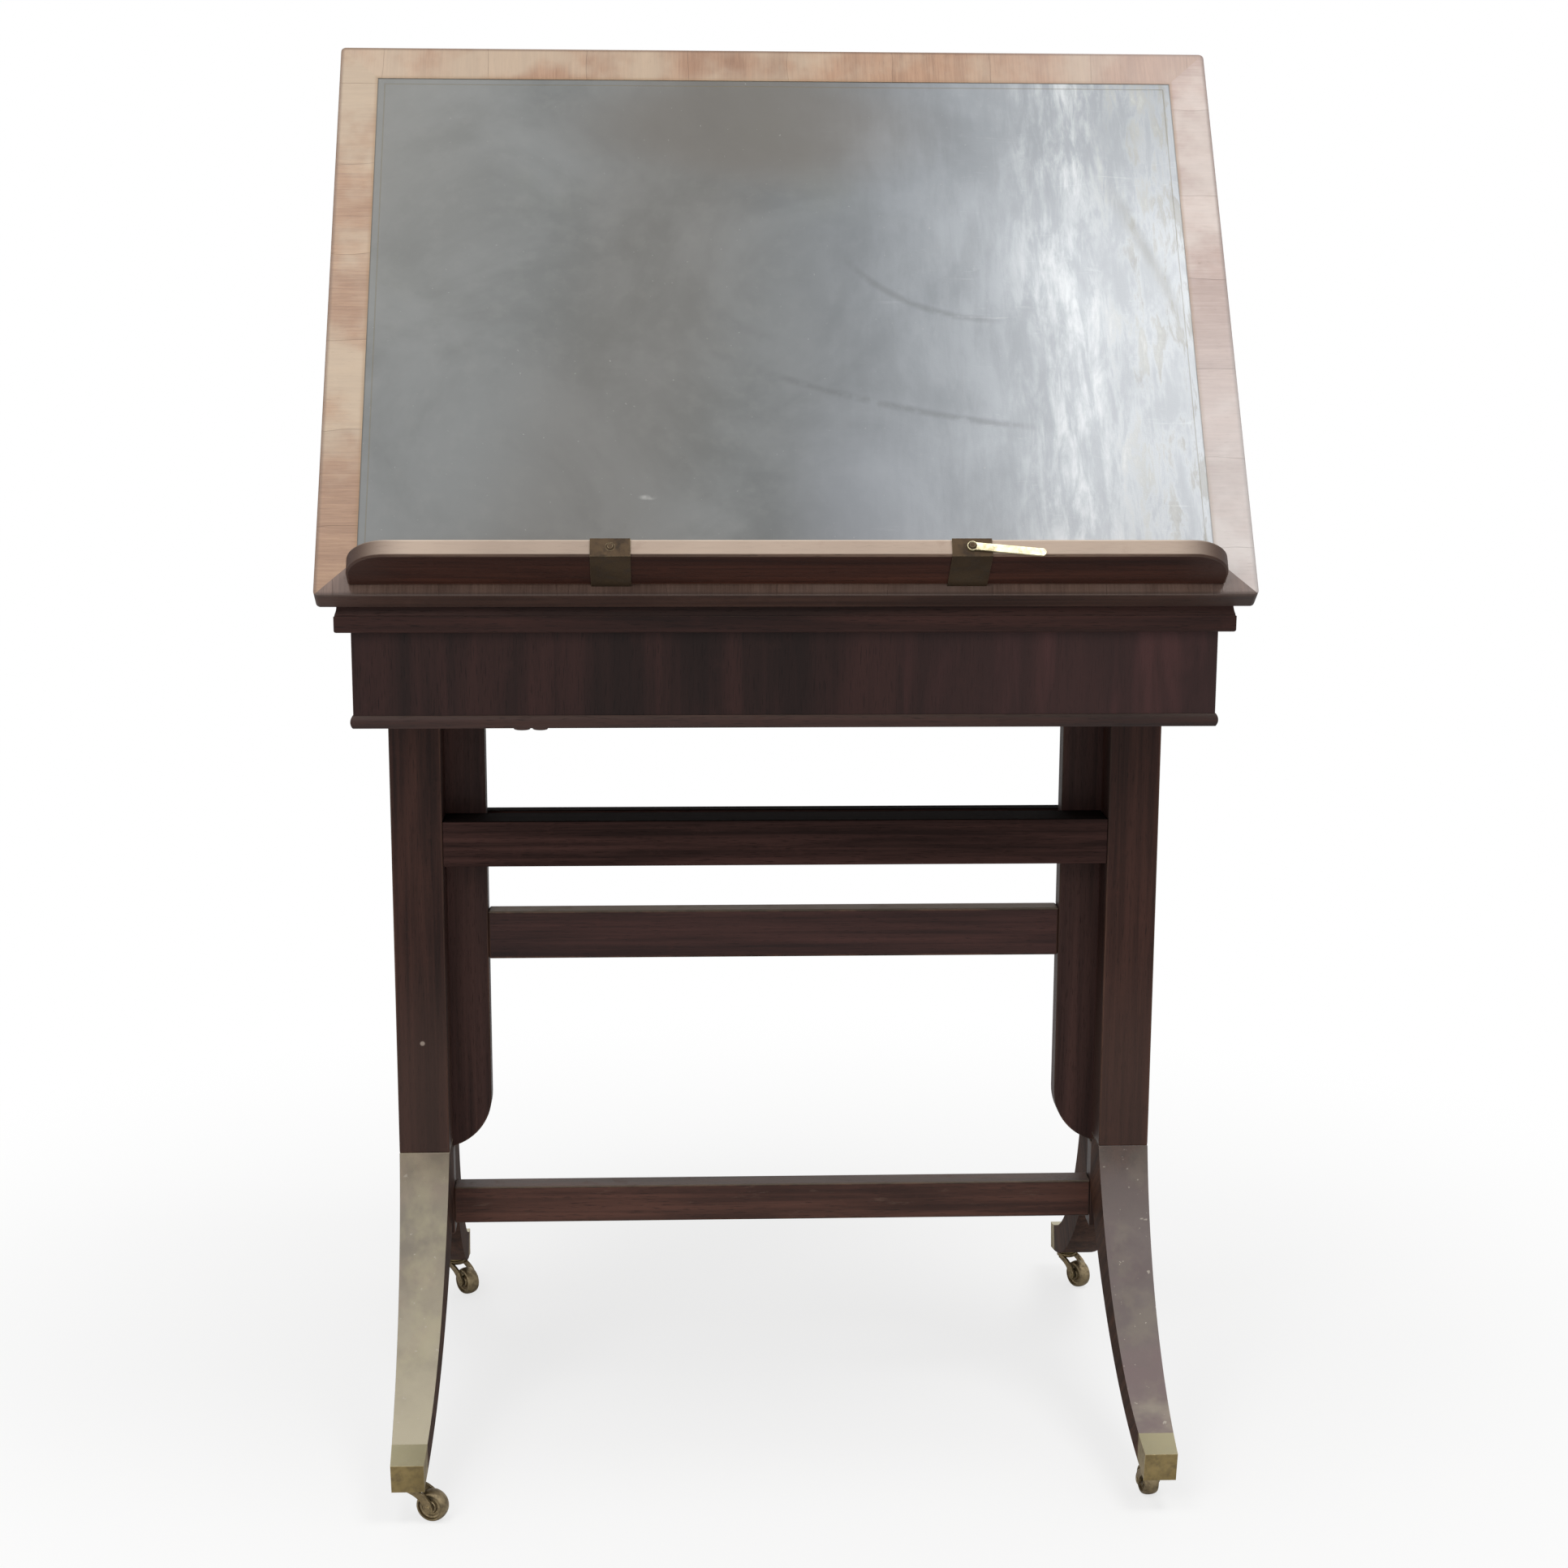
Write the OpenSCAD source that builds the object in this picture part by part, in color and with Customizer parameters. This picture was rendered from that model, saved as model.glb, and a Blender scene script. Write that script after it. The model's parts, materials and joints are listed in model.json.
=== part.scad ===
// Reading table. A stand on sabre legs holds a frame that slides up and down,
// and the frame carries a top that tilts on a prop strut and two ratchet racks.
// Sizes are in millimetres. Z is up, the reader sits on the -Y side, and the
// floor is Z = 0 under the middle of the table.

/* [Top] */
// Width of the tilting top
top_w = 712; // [600:1:900]
// Depth of the tilting top
top_d = 512; // [440:1:640]
// Thickness of the top with its veneers
top_t = 18; // [14:0.5:26]
// Radius of the top's corners
top_corner_r = 4; // [2:0.5:25]
// How far the closed top stands out past the mouldings, all round
top_lip = 12; // [4:0.5:20]
// Slope of the top as it stands in the picture
top_tilt = 54; // [30:1:58]
// Thickness of the crossbanded border
border_t = 1.2; // [0.8:0.1:2.5]
// Width of the crossbanded border
border_w = 31; // [15:1:60]
// How far the leather lies below the border's face
leather_drop = 0.2; // [0:0.05:0.5]

/* [Book ledge] */
// Height of the ledge above the top
ledge_h = 44; // [25:1:60]
// Thickness of the ledge
ledge_t = 14; // [8:0.5:20]
// How far each end of the ledge stops short of the top's edge
ledge_short = 25.5; // [10:0.5:90]
// Radius of the ledge's rounded upper ends
ledge_end_r = 31; // [5:1:40]
// Distance from the top's front edge to the ledge
ledge_setback = 8.5; // [2:0.5:20]
// Distance of each brass plate from the middle
plate_x = 134; // [60:1:250]
// Width of each brass plate
plate_w = 30; // [16:1:60]
// Thickness of each brass plate
plate_t = 1.2; // [0.8:0.1:2]
// Radius of the plate's rivet
rivet_r = 2; // [1:0.1:3]
// Length of the page arm from its rivet
arm_l = 52; // [30:1:90]
// Width of the page arm
arm_w = 6; // [5:0.5:10]
// Thickness of the page arm
arm_t = 1.5; // [1:0.1:2.5]
// Angle at which the page arm lies across the ledge
arm_angle = 6; // [0:1:10]

/* [Frame under the top] */
// Height of the frieze boards
frieze_h = 75; // [50:1:120]
// Thickness of the frieze boards
frieze_t = 18; // [12:0.5:25]
// Height of the bead round the frieze's lower edge
bead_h = 10; // [4:0.5:16]
// How far the bead stands out
bead_out = 2.2; // [1:0.1:4]
// Height of the moulding on the frieze
moulding_h = 30.5; // [28:0.5:45]
// How far the moulding stands out
moulding_out = 11.5; // [8:0.5:20]
// Height of the moulding's lower fillet
fillet_h = 12.5; // [6:0.5:14]
// Radius of the moulding's shallow hollow
hollow_r = 20; // [16:0.5:40]
// Depth of the hollow at its middle
hollow_in = 2.4; // [1.5:0.1:3]
// Thickness of the bed panel under the top
bed_t = 8; // [5:0.5:9]
// Width of the frieze's top edge that the bed panel rests on
bed_seat = 9; // [4:0.5:12]
// Thickness of the cross bearers
bearer_t = 22; // [15:0.5:22]

/* [Rising slide] */
// Width of each sliding stile
stile_w = 57; // [45:0.5:80]
// Thickness of the sliding stiles and their rail
stile_t = 22; // [16:0.5:30]
// Radius of each stile's rounded lower end
stile_end_r = 47; // [15:1:55]
// Height of the tongue at each stile's upper end
tongue_h = 60; // [30:1:70]
// Height of the rail between the stiles
slide_rail_h = 42; // [25:0.5:60]
// Height of that rail's lower edge above the floor
slide_rail_z = 402; // [330:1:430]

/* [Stand] */
// Height of the uprights' upper ends above the floor
stand_h = 641; // [590:1:720]
// How far the uprights' outer faces lie inside the frieze's ends
stand_inset = 8; // [5:0.5:30]
// Width of each upright
upright_w = 43; // [36:0.5:55]
// Depth of each upright
upright_d = 39.7; // [30:0.1:50]
// Height of the joint between upright and leg
joint_z = 240; // [215:1:280]
// Height of the front rail
front_rail_h = 39; // [25:0.5:60]
// Thickness of the front rail
front_rail_t = 38; // [20:0.5:38]
// Height of the front rail's lower edge above the floor
front_rail_z = 492; // [460:1:540]
// Height of the rear rail
rear_rail_h = 39; // [25:0.5:60]
// Thickness of the rear rail
rear_rail_t = 16; // [10:0.5:30]
// How much lower than the front rail the rear rail lies
rear_rail_drop = 3; // [0:0.5:20]
// Height of the stretcher
stretcher_h = 33; // [22:0.5:40]
// Thickness of the stretcher
stretcher_t = 24; // [16:0.5:30]
// Height of the stretcher's lower edge above the floor
stretcher_z = 162; // [156:1:175]
// Height of the end block's lower edge above the floor
block_z = 152; // [130:1:155]
// Depth of the slide's floor below the joint of upright and leg
slot_drop = 11; // [4:0.5:20]
// Thickness of the strip that closes the slide's outer side
strip_t = 20; // [12:0.5:24]

/* [Sabre legs] */
// Distance of each toe's upper arris from the middle of the table
leg_reach = 276; // [262:1:320]
// Height of the toe's upper arris above the floor
toe_top_z = 53; // [52:0.5:62]
// Radius of the leg's front sweep
leg_sweep_r = 300; // [280:1:500]
// Thickness of the leg where it leaves the upright
leg_top_t = 62; // [56:0.5:70]
// Height of the square toe
toe_h = 25; // [20:0.5:25]
// Width of the square toe
toe_w = 26.5; // [25:0.5:34]

/* [Caps and casters] */
// Length of the toe cap
cap_l = 28; // [27.5:0.5:36]
// Wall of the toe cap
cap_wall = 1.3; // [0.8:0.1:2]
// Distance from the toe's end to the caster's pivot
caster_inset = 22; // [18:0.5:22]
// Radius of the boss under the cap
boss_r = 8; // [6:0.25:8.5]
// Radius of the caster's stem
stem_r = 3; // [2:0.25:4]
// Length of the caster's stem
stem_l = 15; // [10:0.5:18]
// Diameter of the wheel
wheel_d = 26; // [20:0.5:26.5]
// Width of the wheel
wheel_w = 13; // [7:0.5:13.5]
// Distance from the pivot to the wheel's axle
trail = 20; // [14:0.5:24]
// Radius of the axle
axle_r = 2; // [1.5:0.1:3]
// Thickness of the fork's crown
crown_t = 3; // [2.5:0.1:3.2]
// Radius of the fork's crown
crown_r = 9.5; // [8:0.25:9.75]
// Thickness of each fork cheek
cheek_t = 2.4; // [2:0.1:2.8]

/* [Prop strut and racks] */
// Depth of the strut's pivot below the top
strut_drop = 8.5; // [8.5:0.1:9]
// Distance of each strut arm from the middle
strut_x = 130; // [80:1:145]
// Width of each strut arm
strut_w = 26; // [16:0.5:34]
// Thickness of each strut arm
strut_t = 11; // [8:0.5:12]
// Distance of the cross rail from the strut's pivot
cross_rail_y = 80; // [40:1:130]
// Width of the cross rail
cross_rail_w = 24; // [14:0.5:40]
// Thickness of the cross rail
cross_rail_t = 9; // [6:0.5:12]
// Radius of the foot bar
foot_r = 6; // [5:0.25:6.5]
// Radius of the strut's pivot pins
strut_pin_r = 2.5; // [1.5:0.1:3]
// Thickness of the strut brackets
bracket_t = 2; // [1.2:0.1:2]
// Distance of each rack from the middle
rack_x = 175; // [172:1:240]
// Width of each rack
rack_w = 20; // [10:0.5:30]
// Distance from notch to notch
rack_pitch = 10; // [6:0.5:14]
// Height of the teeth
tooth_h = 3.5; // [2:0.25:4]
// Room behind the folded strut
strut_room = 12; // [6:0.5:30]

/* [Top hinges] */
// Distance of each hinge from the middle
hinge_x = 210; // [200:1:280]
// Width of each hinge
hinge_w = 42; // [30:1:60]
// Length of the hinge leaves
leaf_l = 20; // [14:0.5:26]
// Thickness of the hinge leaves
leaf_t = 1.5; // [1:0.1:2.2]
// Radius of the hinge knuckles
knuckle_r = 3.2; // [2.8:0.1:4]
// Radius of the hinge pins
hinge_pin_r = 1.5; // [1:0.1:2]

/* [Height screws] */
// Distance of the thumb screws below the uprights' upper ends
screw_drop = 41; // [25:1:80]
// Radius of the screw's shank
screw_r = 4; // [3:0.1:5]
// Distance of the screw from the upright's inner face
screw_in = 10.5; // [9.5:0.5:14]
// Thickness of the screw's plate
screw_plate_t = 2; // [1:0.1:3]
// Width of the thumb screw's wing
wing_w = 26; // [18:1:34]

/* [Clearances] */
// Radial clearance of a pin in its bore
pin_gap = 0.05; // [0.02:0.01:0.08]
// Clearance at each face of the slide
slide_gap = 0.3; // [0.2:0.05:0.6]
// Clearance between the fixed rails and the sliding one
rail_gap = 1; // [0.5:0.1:2]
// Height of the foot bar above the teeth as it passes them
foot_gap = 0.3; // [0.2:0.05:0.5]
// Clearance between neighbouring turning parts
turn_gap = 0.3; // [0.2:0.05:0.4]

/* [Hidden] */
$fn = 64;
LEFT = -1;
RIGHT = 1;
FRONT = -1;
REAR = 1;
// Overshoot that keeps a cut clear of the face it starts from
cut = 0.5;

// The frieze box and the ledge keep their distances from the top's edges
frieze_w = top_w - 2 * top_lip - 2 * moulding_out;
frieze_d = top_d - 2 * top_lip - 2 * moulding_out;
ledge_l = top_w - 2 * ledge_short;

// Sideways places, measured from the middle of the table
stand_out = frieze_w / 2 - stand_inset;
stand_in = stand_out - upright_w;
leg_x = stand_out - upright_w / 2;
strip_in = stand_out - strip_t;
stile_out = strip_in - slide_gap;
stile_in = stile_out - stile_w;
screw_x = stand_in + screw_in;

// Places from front to back
slot_y = stile_t / 2 + slide_gap;
stand_y = slot_y + upright_d;
rail_y = stile_t / 2 + rail_gap;
bed_half_w = frieze_w / 2 - frieze_t + bed_seat;
bed_half_d = frieze_d / 2 - frieze_t + bed_seat;
tray_back_y = frieze_d / 2 - frieze_t;
hinge_y = -frieze_d / 2 - moulding_out;

// Heights
screw_z = stand_h - screw_drop;
slot_z = joint_z - slot_drop;
stile_z = slot_z + 2;
frieze_top_z = stand_h + frieze_h;
tray_z = frieze_top_z + bed_t;
bed_top_z = frieze_top_z + moulding_h;
tray_depth = bed_top_z - tray_z;

// The strut and its foot's nearly level path. Its length makes the foot as
// high at the picture's slope as it is when the top lies flat.
tray_run = tray_back_y - hinge_y;
strut_rise = strut_drop * tan(top_tilt / 2);
strut_s = (tray_run - foot_r - strut_room - strut_rise) / 2;
strut_l = strut_s + strut_rise;
foot_low = strut_drop / cos(top_tilt / 2) + foot_r + foot_gap;
rack_h = tray_depth - foot_low;
steepest = top_tilt + 6;
function foot_y(a) = hinge_y + (strut_s + strut_l) * cos(a) + strut_drop * sin(a);

// The sabre leg's front sweep is one arc from the upright's foot to the toe.
// Its angles are measured from straight down.
sweep_dy = leg_reach - stand_y;
sweep_dz = joint_z - toe_top_z;
sweep_mid = atan2(sweep_dy, sweep_dz);
sweep_half = asin(norm([sweep_dy, sweep_dz]) / (2 * leg_sweep_r));
sweep_start = sweep_mid - sweep_half;
sweep_end = sweep_mid + sweep_half;
leg_steps = 24;
function sweep_angle(s) = sweep_start + s * (sweep_end - sweep_start);
function leg_front(s) = [
    -stand_y - leg_sweep_r * (cos(sweep_start) - cos(sweep_angle(s))),
    joint_z - leg_sweep_r * (sin(sweep_angle(s)) - sin(sweep_start))
];
function leg_thick(s) = toe_h + (leg_top_t - toe_h) * pow(1 - s, 2);
function leg_under(s) = leg_front(s) + leg_thick(s) * [cos(sweep_angle(s)), -sin(sweep_angle(s))];
// The face narrows evenly along the sweep, and a little faster near the toe
function leg_width(s) = upright_w - (upright_w - toe_w) * (0.8 * s + 0.2 * pow(s, 4));
function leg_run(s) = leg_sweep_r * (sin(sweep_half) + sin(sweep_angle(s) - sweep_mid));

// The caster stands under the cap at right angles to the floor
wheel_r = wheel_d / 2;
crown_z = wheel_d + 2 * turn_gap;
boss_z = crown_z + crown_t + turn_gap;
caster_y = leg_reach - caster_inset;
cheek_y = wheel_w / 2 + turn_gap;
// Way that each caster trails: front left, front right, rear left, rear right
trail_front_left = -22;
trail_front_right = 98;
trail_rear_left = -52;
trail_rear_right = -62;

// The page arm over the ledge reaches further to the front than the rear caps
// do to the back. The origin lies under the middle of that length.
front_reach = (top_t + ledge_h + plate_t + pin_gap + arm_t) * sin(top_tilt) - hinge_y
    - (ledge_setback + ledge_t / 2 - top_lip - arm_l * sin(arm_angle) - arm_w / 2) * cos(top_tilt);
middle_y = (front_reach - leg_reach) / 2;
module centred() {
    translate([0, middle_y, 0]) children();
}

// A flat shape with rounded corners, about its middle
module rounded_plan(w, d, r) {
    square([w - 2 * r, d], center = true);
    square([w, d - 2 * r], center = true);
    for (x = [-1, 1], y = [-1, 1])
        translate([x * (w / 2 - r), y * (d / 2 - r)]) circle(r);
}

// A block between two corners
module block(a, b) {
    translate(a) cube(b - a);
}

// A block that is drawn for the right-hand side and mirrored for the left
module side_block(side, x0, x1, y0, y1, z0, z1) {
    block([side == RIGHT ? x0 : -x1, y0, z0], [side == RIGHT ? x1 : -x0, y1, z1]);
}

// A round bar along X, about its middle
module bar_x(r, l) {
    rotate([0, 90, 0]) cylinder(r = r, h = l, center = true);
}

// A round bar along Y from y0 to y1
module bar_y(r, y0, y1) {
    translate([0, y0, 0]) rotate([-90, 0, 0]) cylinder(r = r, h = y1 - y0);
}

module upright(side, end) {
    y0 = end == FRONT ? -stand_y : slot_y;
    difference() {
        side_block(side, stand_in, stand_out, y0, y0 + upright_d, joint_z, stand_h);
        if (end == REAR)
            translate([side * screw_x, 0, screw_z])
                bar_y(screw_r + pin_gap, y0 - cut, y0 + upright_d + cut);
    }
}
module upright_front_left() color("#3c1d14") centred() upright(LEFT, FRONT);
module upright_front_right() color("#3c1d14") centred() upright(RIGHT, FRONT);
module upright_rear_left() color("#381b13") centred() upright(LEFT, REAR);
module upright_rear_right() color("#381b13") centred() upright(RIGHT, REAR);

// The end's core: a strip behind the stile and the block below it
module core(side) {
    side_block(side, strip_in, stand_out, -slot_y, slot_y, slot_z, stand_h);
    side_block(side, stand_in, stand_out, -slot_y, slot_y, block_z, slot_z);
}
module core_left() color("#44241a") centred() core(LEFT);
module core_right() color("#44241a") centred() core(RIGHT);

module front_rail() color("#331710") centred() {
    y0 = -rail_y - cut - front_rail_t;
    block([-stand_in, y0, front_rail_z], [stand_in, y0 + front_rail_t, front_rail_z + front_rail_h]);
}

module rear_rail() color("#2c130d") centred() {
    z0 = front_rail_z + front_rail_h - rear_rail_drop - rear_rail_h;
    block([-stand_in, rail_y, z0], [stand_in, rail_y + rear_rail_t, z0 + rear_rail_h]);
}

module stretcher() color("#3a1c14") centred()
    block([-stand_in, -stretcher_t / 2, stretcher_z],
          [stand_in, stretcher_t / 2, stretcher_z + stretcher_h]);

// The leg seen from the side, up to the face that meets the core
module leg_side() {
    front = [for (i = [0:leg_steps]) leg_front(i / leg_steps)];
    under = [for (i = [leg_steps:-1:0]) leg_under(i / leg_steps)];
    intersection() {
        polygon(concat(front, under, [[leg_under(0)[0], joint_z]]));
        translate([-leg_reach * 2, 0]) square([leg_reach * 2 - slot_y, joint_z]);
    }
}

// The leg's face, drawn in the plane of the sweep's chord
module leg_face() {
    half = [for (i = [0:leg_steps]) [leg_width(i / leg_steps) / 2, leg_run(i / leg_steps)]];
    right = concat([[upright_w / 2, -leg_top_t]], half, [[toe_w / 2, leg_run(1) + leg_top_t]]);
    polygon(concat(right, [for (i = [len(right) - 1:-1:0]) [-right[i][0], right[i][1]]]));
}

// The leg's whole form, toe included
module leg_form() {
    intersection() {
        rotate([90, 0, 90]) linear_extrude(upright_w * 2, center = true) leg_side();
        translate([0, -stand_y, joint_z]) rotate([-90 - sweep_mid, 0, 0])
            linear_extrude(4 * leg_top_t, center = true) leg_face();
    }
}

// Puts its children in the toe's frame: Y runs back up the toe from its end,
// and Z = 0 is the toe's upper face
module at_toe() {
    toe = leg_front(1);
    translate([0, toe[0], toe[1]]) rotate([90 - sweep_end, 0, 0]) children();
}

module front_leg() {
    difference() {
        leg_form();
        at_toe() block([-toe_w, -toe_h, -2 * toe_h], [toe_w, cap_l, toe_h]);
    }
    difference() {
        at_toe() block([-toe_w / 2 + cap_wall, cap_wall, cap_wall - toe_h],
                       [toe_w / 2 - cap_wall, cap_l, -cap_wall]);
        translate([0, -caster_y, 0]) cylinder(r = stem_r + turn_gap, h = boss_z + stem_l + cut);
    }
}

module front_cap() {
    difference() {
        union() {
            intersection() {
                leg_form();
                at_toe() block([-toe_w, -toe_h, -2 * toe_h], [toe_w, cap_l, toe_h]);
            }
            translate([0, -caster_y, boss_z]) cylinder(r = boss_r, h = toe_h / 2);
        }
        at_toe() block([-toe_w / 2 + cap_wall, cap_wall, cap_wall - toe_h],
                       [toe_w / 2 - cap_wall, cap_l + boss_r, -cap_wall]);
        translate([0, -caster_y, 0]) cylinder(r = stem_r + pin_gap, h = toe_top_z - cap_wall * 4);
    }
}

// Puts a front leg's piece at one of the four corners
module at_corner(side, end) {
    translate([side * leg_x, 0, 0]) mirror([0, end == REAR ? 1 : 0, 0]) children();
}
module leg_front_left() color("#8a6a58") centred() at_corner(LEFT, FRONT) front_leg();
module leg_front_right() color("#8a6a58") centred() at_corner(RIGHT, FRONT) front_leg();
module leg_rear_left() color("#6a4636") centred() at_corner(LEFT, REAR) front_leg();
module leg_rear_right() color("#6a4636") centred() at_corner(RIGHT, REAR) front_leg();
module cap_front_left() color("#9c8a5c") centred() at_corner(LEFT, FRONT) front_cap();
module cap_front_right() color("#9c8a5c") centred() at_corner(RIGHT, FRONT) front_cap();
module cap_rear_left() color("#9c8a5c") centred() at_corner(LEFT, REAR) front_cap();
module cap_rear_right() color("#9c8a5c") centred() at_corner(RIGHT, REAR) front_cap();

// Oval plates behind the thumb screws
module screw_plates() color("#b0975a") centred() {
    plate_half = screw_in - 1;
    for (side = [LEFT, RIGHT])
        translate([side * screw_x, stand_y, screw_z]) rotate([-90, 0, 0])
            difference() {
                linear_extrude(screw_plate_t)
                    rounded_plan(2 * plate_half, 3.6 * plate_half, plate_half * 0.9);
                translate([0, 0, -cut]) cylinder(r = screw_r + turn_gap, h = screw_plate_t + 2 * cut);
            }
}

// Thumb screw: shank up to the stile, collar and flat wing
module thumb_screw(side) {
    head_y = stand_y + screw_plate_t + turn_gap;
    wing_r = wing_w / 4;
    translate([side * screw_x, 0, screw_z]) {
        bar_y(screw_r, slot_y, head_y + cut);
        bar_y(screw_r * 1.8, head_y, head_y + 4);
        translate([0, head_y + 4 - cut, 0]) rotate([-90, 0, 0]) linear_extrude(3 + cut)
            square([screw_r * 2.4, screw_r * 2.4], center = true);
        translate([0, head_y + 7 - cut, 0]) rotate([0, 0, 0]) bar_y(screw_r * 1.3, 0, 3);
        translate([0, head_y + 8 + wing_r, 0]) rotate([90, 0, 0]) rotate([-90, 0, 0])
            translate([0, 0, -screw_r * 0.45]) linear_extrude(screw_r * 0.9) {
                for (x = [-1, 1])
                    translate([x * (wing_w / 2 - wing_r), 0]) circle(wing_r);
                square([wing_w - 2 * wing_r, 1.4 * wing_r], center = true);
            }
    }
}
module thumb_screw_left() color("#b0975a") centred() thumb_screw(LEFT);
module thumb_screw_right() color("#b0975a") centred() thumb_screw(RIGHT);

// Sliding stile: rounded at its lower inner corner, tongued beside the bearer
module stile(side) {
    mirror([side == LEFT ? 1 : 0, 0, 0]) {
        rotate([90, 0, 0]) linear_extrude(stile_t, center = true) {
            translate([stile_in, stile_z + stile_end_r]) square([stile_w, stand_h - stile_z - stile_end_r]);
            translate([stile_in + stile_end_r, stile_z]) square([stile_w - stile_end_r, stile_end_r]);
            translate([stile_in + stile_end_r, stile_z + stile_end_r]) intersection() {
                circle(stile_end_r);
                translate([-stile_end_r, -stile_end_r]) square(stile_end_r);
            }
            translate([stile_in, stand_h]) square([stand_in - stile_in, tongue_h]);
        }
    }
}
module stile_left() color("#401f15") centred() stile(LEFT);
module stile_right() color("#401f15") centred() stile(RIGHT);

module slide_rail() color("#482418") centred()
    block([-stile_in, -stile_t / 2, slide_rail_z], [stile_in, stile_t / 2, slide_rail_z + slide_rail_h]);

module bearer(side)
    side_block(side, stand_in, stand_in + bearer_t,
               -frieze_d / 2 + frieze_t, frieze_d / 2 - frieze_t, stand_h, frieze_top_z);
module bearer_left() color("#5a3626") centred() bearer(LEFT);
module bearer_right() color("#5a3626") centred() bearer(RIGHT);

module frieze_front() color("#33160f") centred()
    block([-frieze_w / 2, -frieze_d / 2, stand_h], [frieze_w / 2, -frieze_d / 2 + frieze_t, frieze_top_z]);
module frieze_back() color("#2f150f") centred()
    block([-frieze_w / 2, frieze_d / 2 - frieze_t, stand_h], [frieze_w / 2, frieze_d / 2, frieze_top_z]);
module frieze_end(side)
    side_block(side, frieze_w / 2 - frieze_t, frieze_w / 2,
               -frieze_d / 2 + frieze_t, frieze_d / 2 - frieze_t, stand_h, frieze_top_z);
module frieze_left() color("#33160f") centred() frieze_end(LEFT);
module frieze_right() color("#33160f") centred() frieze_end(RIGHT);

// One run of trim along a side of the frieze box, mitred at both ends. The
// sides count from the front: 0 front, 1 right, 2 back, 3 left. The child is
// the trim's section, with X pointing into the box from the frieze's face.
module trim_run(turn, out, inn, h) {
    l = turn % 2 == 0 ? frieze_w : frieze_d;
    d = turn % 2 == 0 ? frieze_d / 2 : frieze_w / 2;
    rotate([0, 0, 90 * turn]) intersection() {
        translate([-l / 2 - out, -d, 0]) rotate([90, 0, 90]) linear_extrude(l + 2 * out) children();
        linear_extrude(h) polygon([
            [-l / 2 - out, -d - out], [l / 2 + out, -d - out],
            [l / 2 - inn, -d + inn], [-l / 2 + inn, -d + inn]
        ]);
    }
}

// The box of the frieze as its bead makes it, with both sides rounded outwards
module bead_outline(w) {
    bead_edge = 0.5;
    bulge = bead_out - bead_edge;
    bead_r = (bead_h * bead_h / 4 + bulge * bulge) / (2 * bulge);
    translate([-w / 2, 0]) square([w, bead_h]);
    for (x = [-1, 1])
        intersection() {
            translate([x * (w / 2 + bead_out - bead_r), bead_h / 2]) circle(bead_r);
            translate([x * (w / 2 + bead_out / 2) - bead_out / 2, 0]) square([bead_out, bead_h]);
        }
}
module cock_bead() color("#4a2418") centred() translate([0, 0, stand_h]) difference() {
    intersection() {
        rotate([90, 0, 0]) linear_extrude(2 * frieze_d, center = true) bead_outline(frieze_w);
        rotate([90, 0, 90]) linear_extrude(2 * frieze_w, center = true) bead_outline(frieze_d);
    }
    block([-frieze_w / 2, -frieze_d / 2, -cut], [frieze_w / 2, frieze_d / 2, bead_h + cut]);
}

// Moulding: a fillet with a rounded lower edge, and a shallow hollow above it
module moulding_section() {
    nose_r = 2;
    step_in = 0.8;
    difference() {
        union() {
            translate([-moulding_out, nose_r]) square([moulding_out + frieze_t, moulding_h - nose_r]);
            translate([nose_r - moulding_out, 0]) square([moulding_out + frieze_t - nose_r, nose_r]);
            translate([nose_r - moulding_out, nose_r]) circle(nose_r);
        }
        translate([frieze_t - bed_seat, -cut]) square([bed_seat + cut, bed_t + cut]);
        translate([-moulding_out - cut, fillet_h]) square([cut + step_in, moulding_h]);
        intersection() {
            translate([hollow_in - moulding_out - hollow_r, (fillet_h + moulding_h) / 2]) circle(hollow_r);
            translate([-moulding_out - cut, fillet_h]) square([moulding_out, moulding_h]);
        }
    }
}
module moulding(turn) {
    translate([0, 0, frieze_top_z]) trim_run(turn, moulding_out, frieze_t, moulding_h) moulding_section();
}
module moulding_front() color("#3a1a12") centred() difference() {
    moulding(0);
    for (side = [LEFT, RIGHT])
        translate([side * hinge_x, hinge_y, bed_top_z]) {
            bar_x(knuckle_r + turn_gap, hinge_w + 2 * turn_gap);
            block([-hinge_w / 2, 0, -leaf_t], [hinge_w / 2, leaf_l, cut]);
        }
}
module moulding_right() color("#3a1a12") centred() moulding(1);
module moulding_back() color("#3a1a12") centred() moulding(2);
module moulding_left() color("#3a1a12") centred() moulding(3);

module bed_panel() color("#6a4630") centred()
    block([-bed_half_w, -bed_half_d, frieze_top_z], [bed_half_w, bed_half_d, tray_z]);

// Ratchet rack: upright faces look to the front, slopes fall to the back
module rack(side) {
    first_y = foot_y(steepest) - 2 * rack_pitch;
    teeth = floor((foot_y(0) + foot_r - first_y) / rack_pitch);
    base_h = rack_h - tooth_h;
    tips = [for (i = [0:teeth - 1]) each [[i * rack_pitch, base_h], [i * rack_pitch, rack_h]]];
    translate([side * rack_x - rack_w / 2, first_y, tray_z]) rotate([90, 0, 90])
        linear_extrude(rack_w)
            polygon(concat([[0, 0]], tips, [[teeth * rack_pitch, base_h], [teeth * rack_pitch, 0]]));
}
module rack_left() color("#7a4a30") centred() rack(LEFT);
module rack_right() color("#7a4a30") centred() rack(RIGHT);

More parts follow.
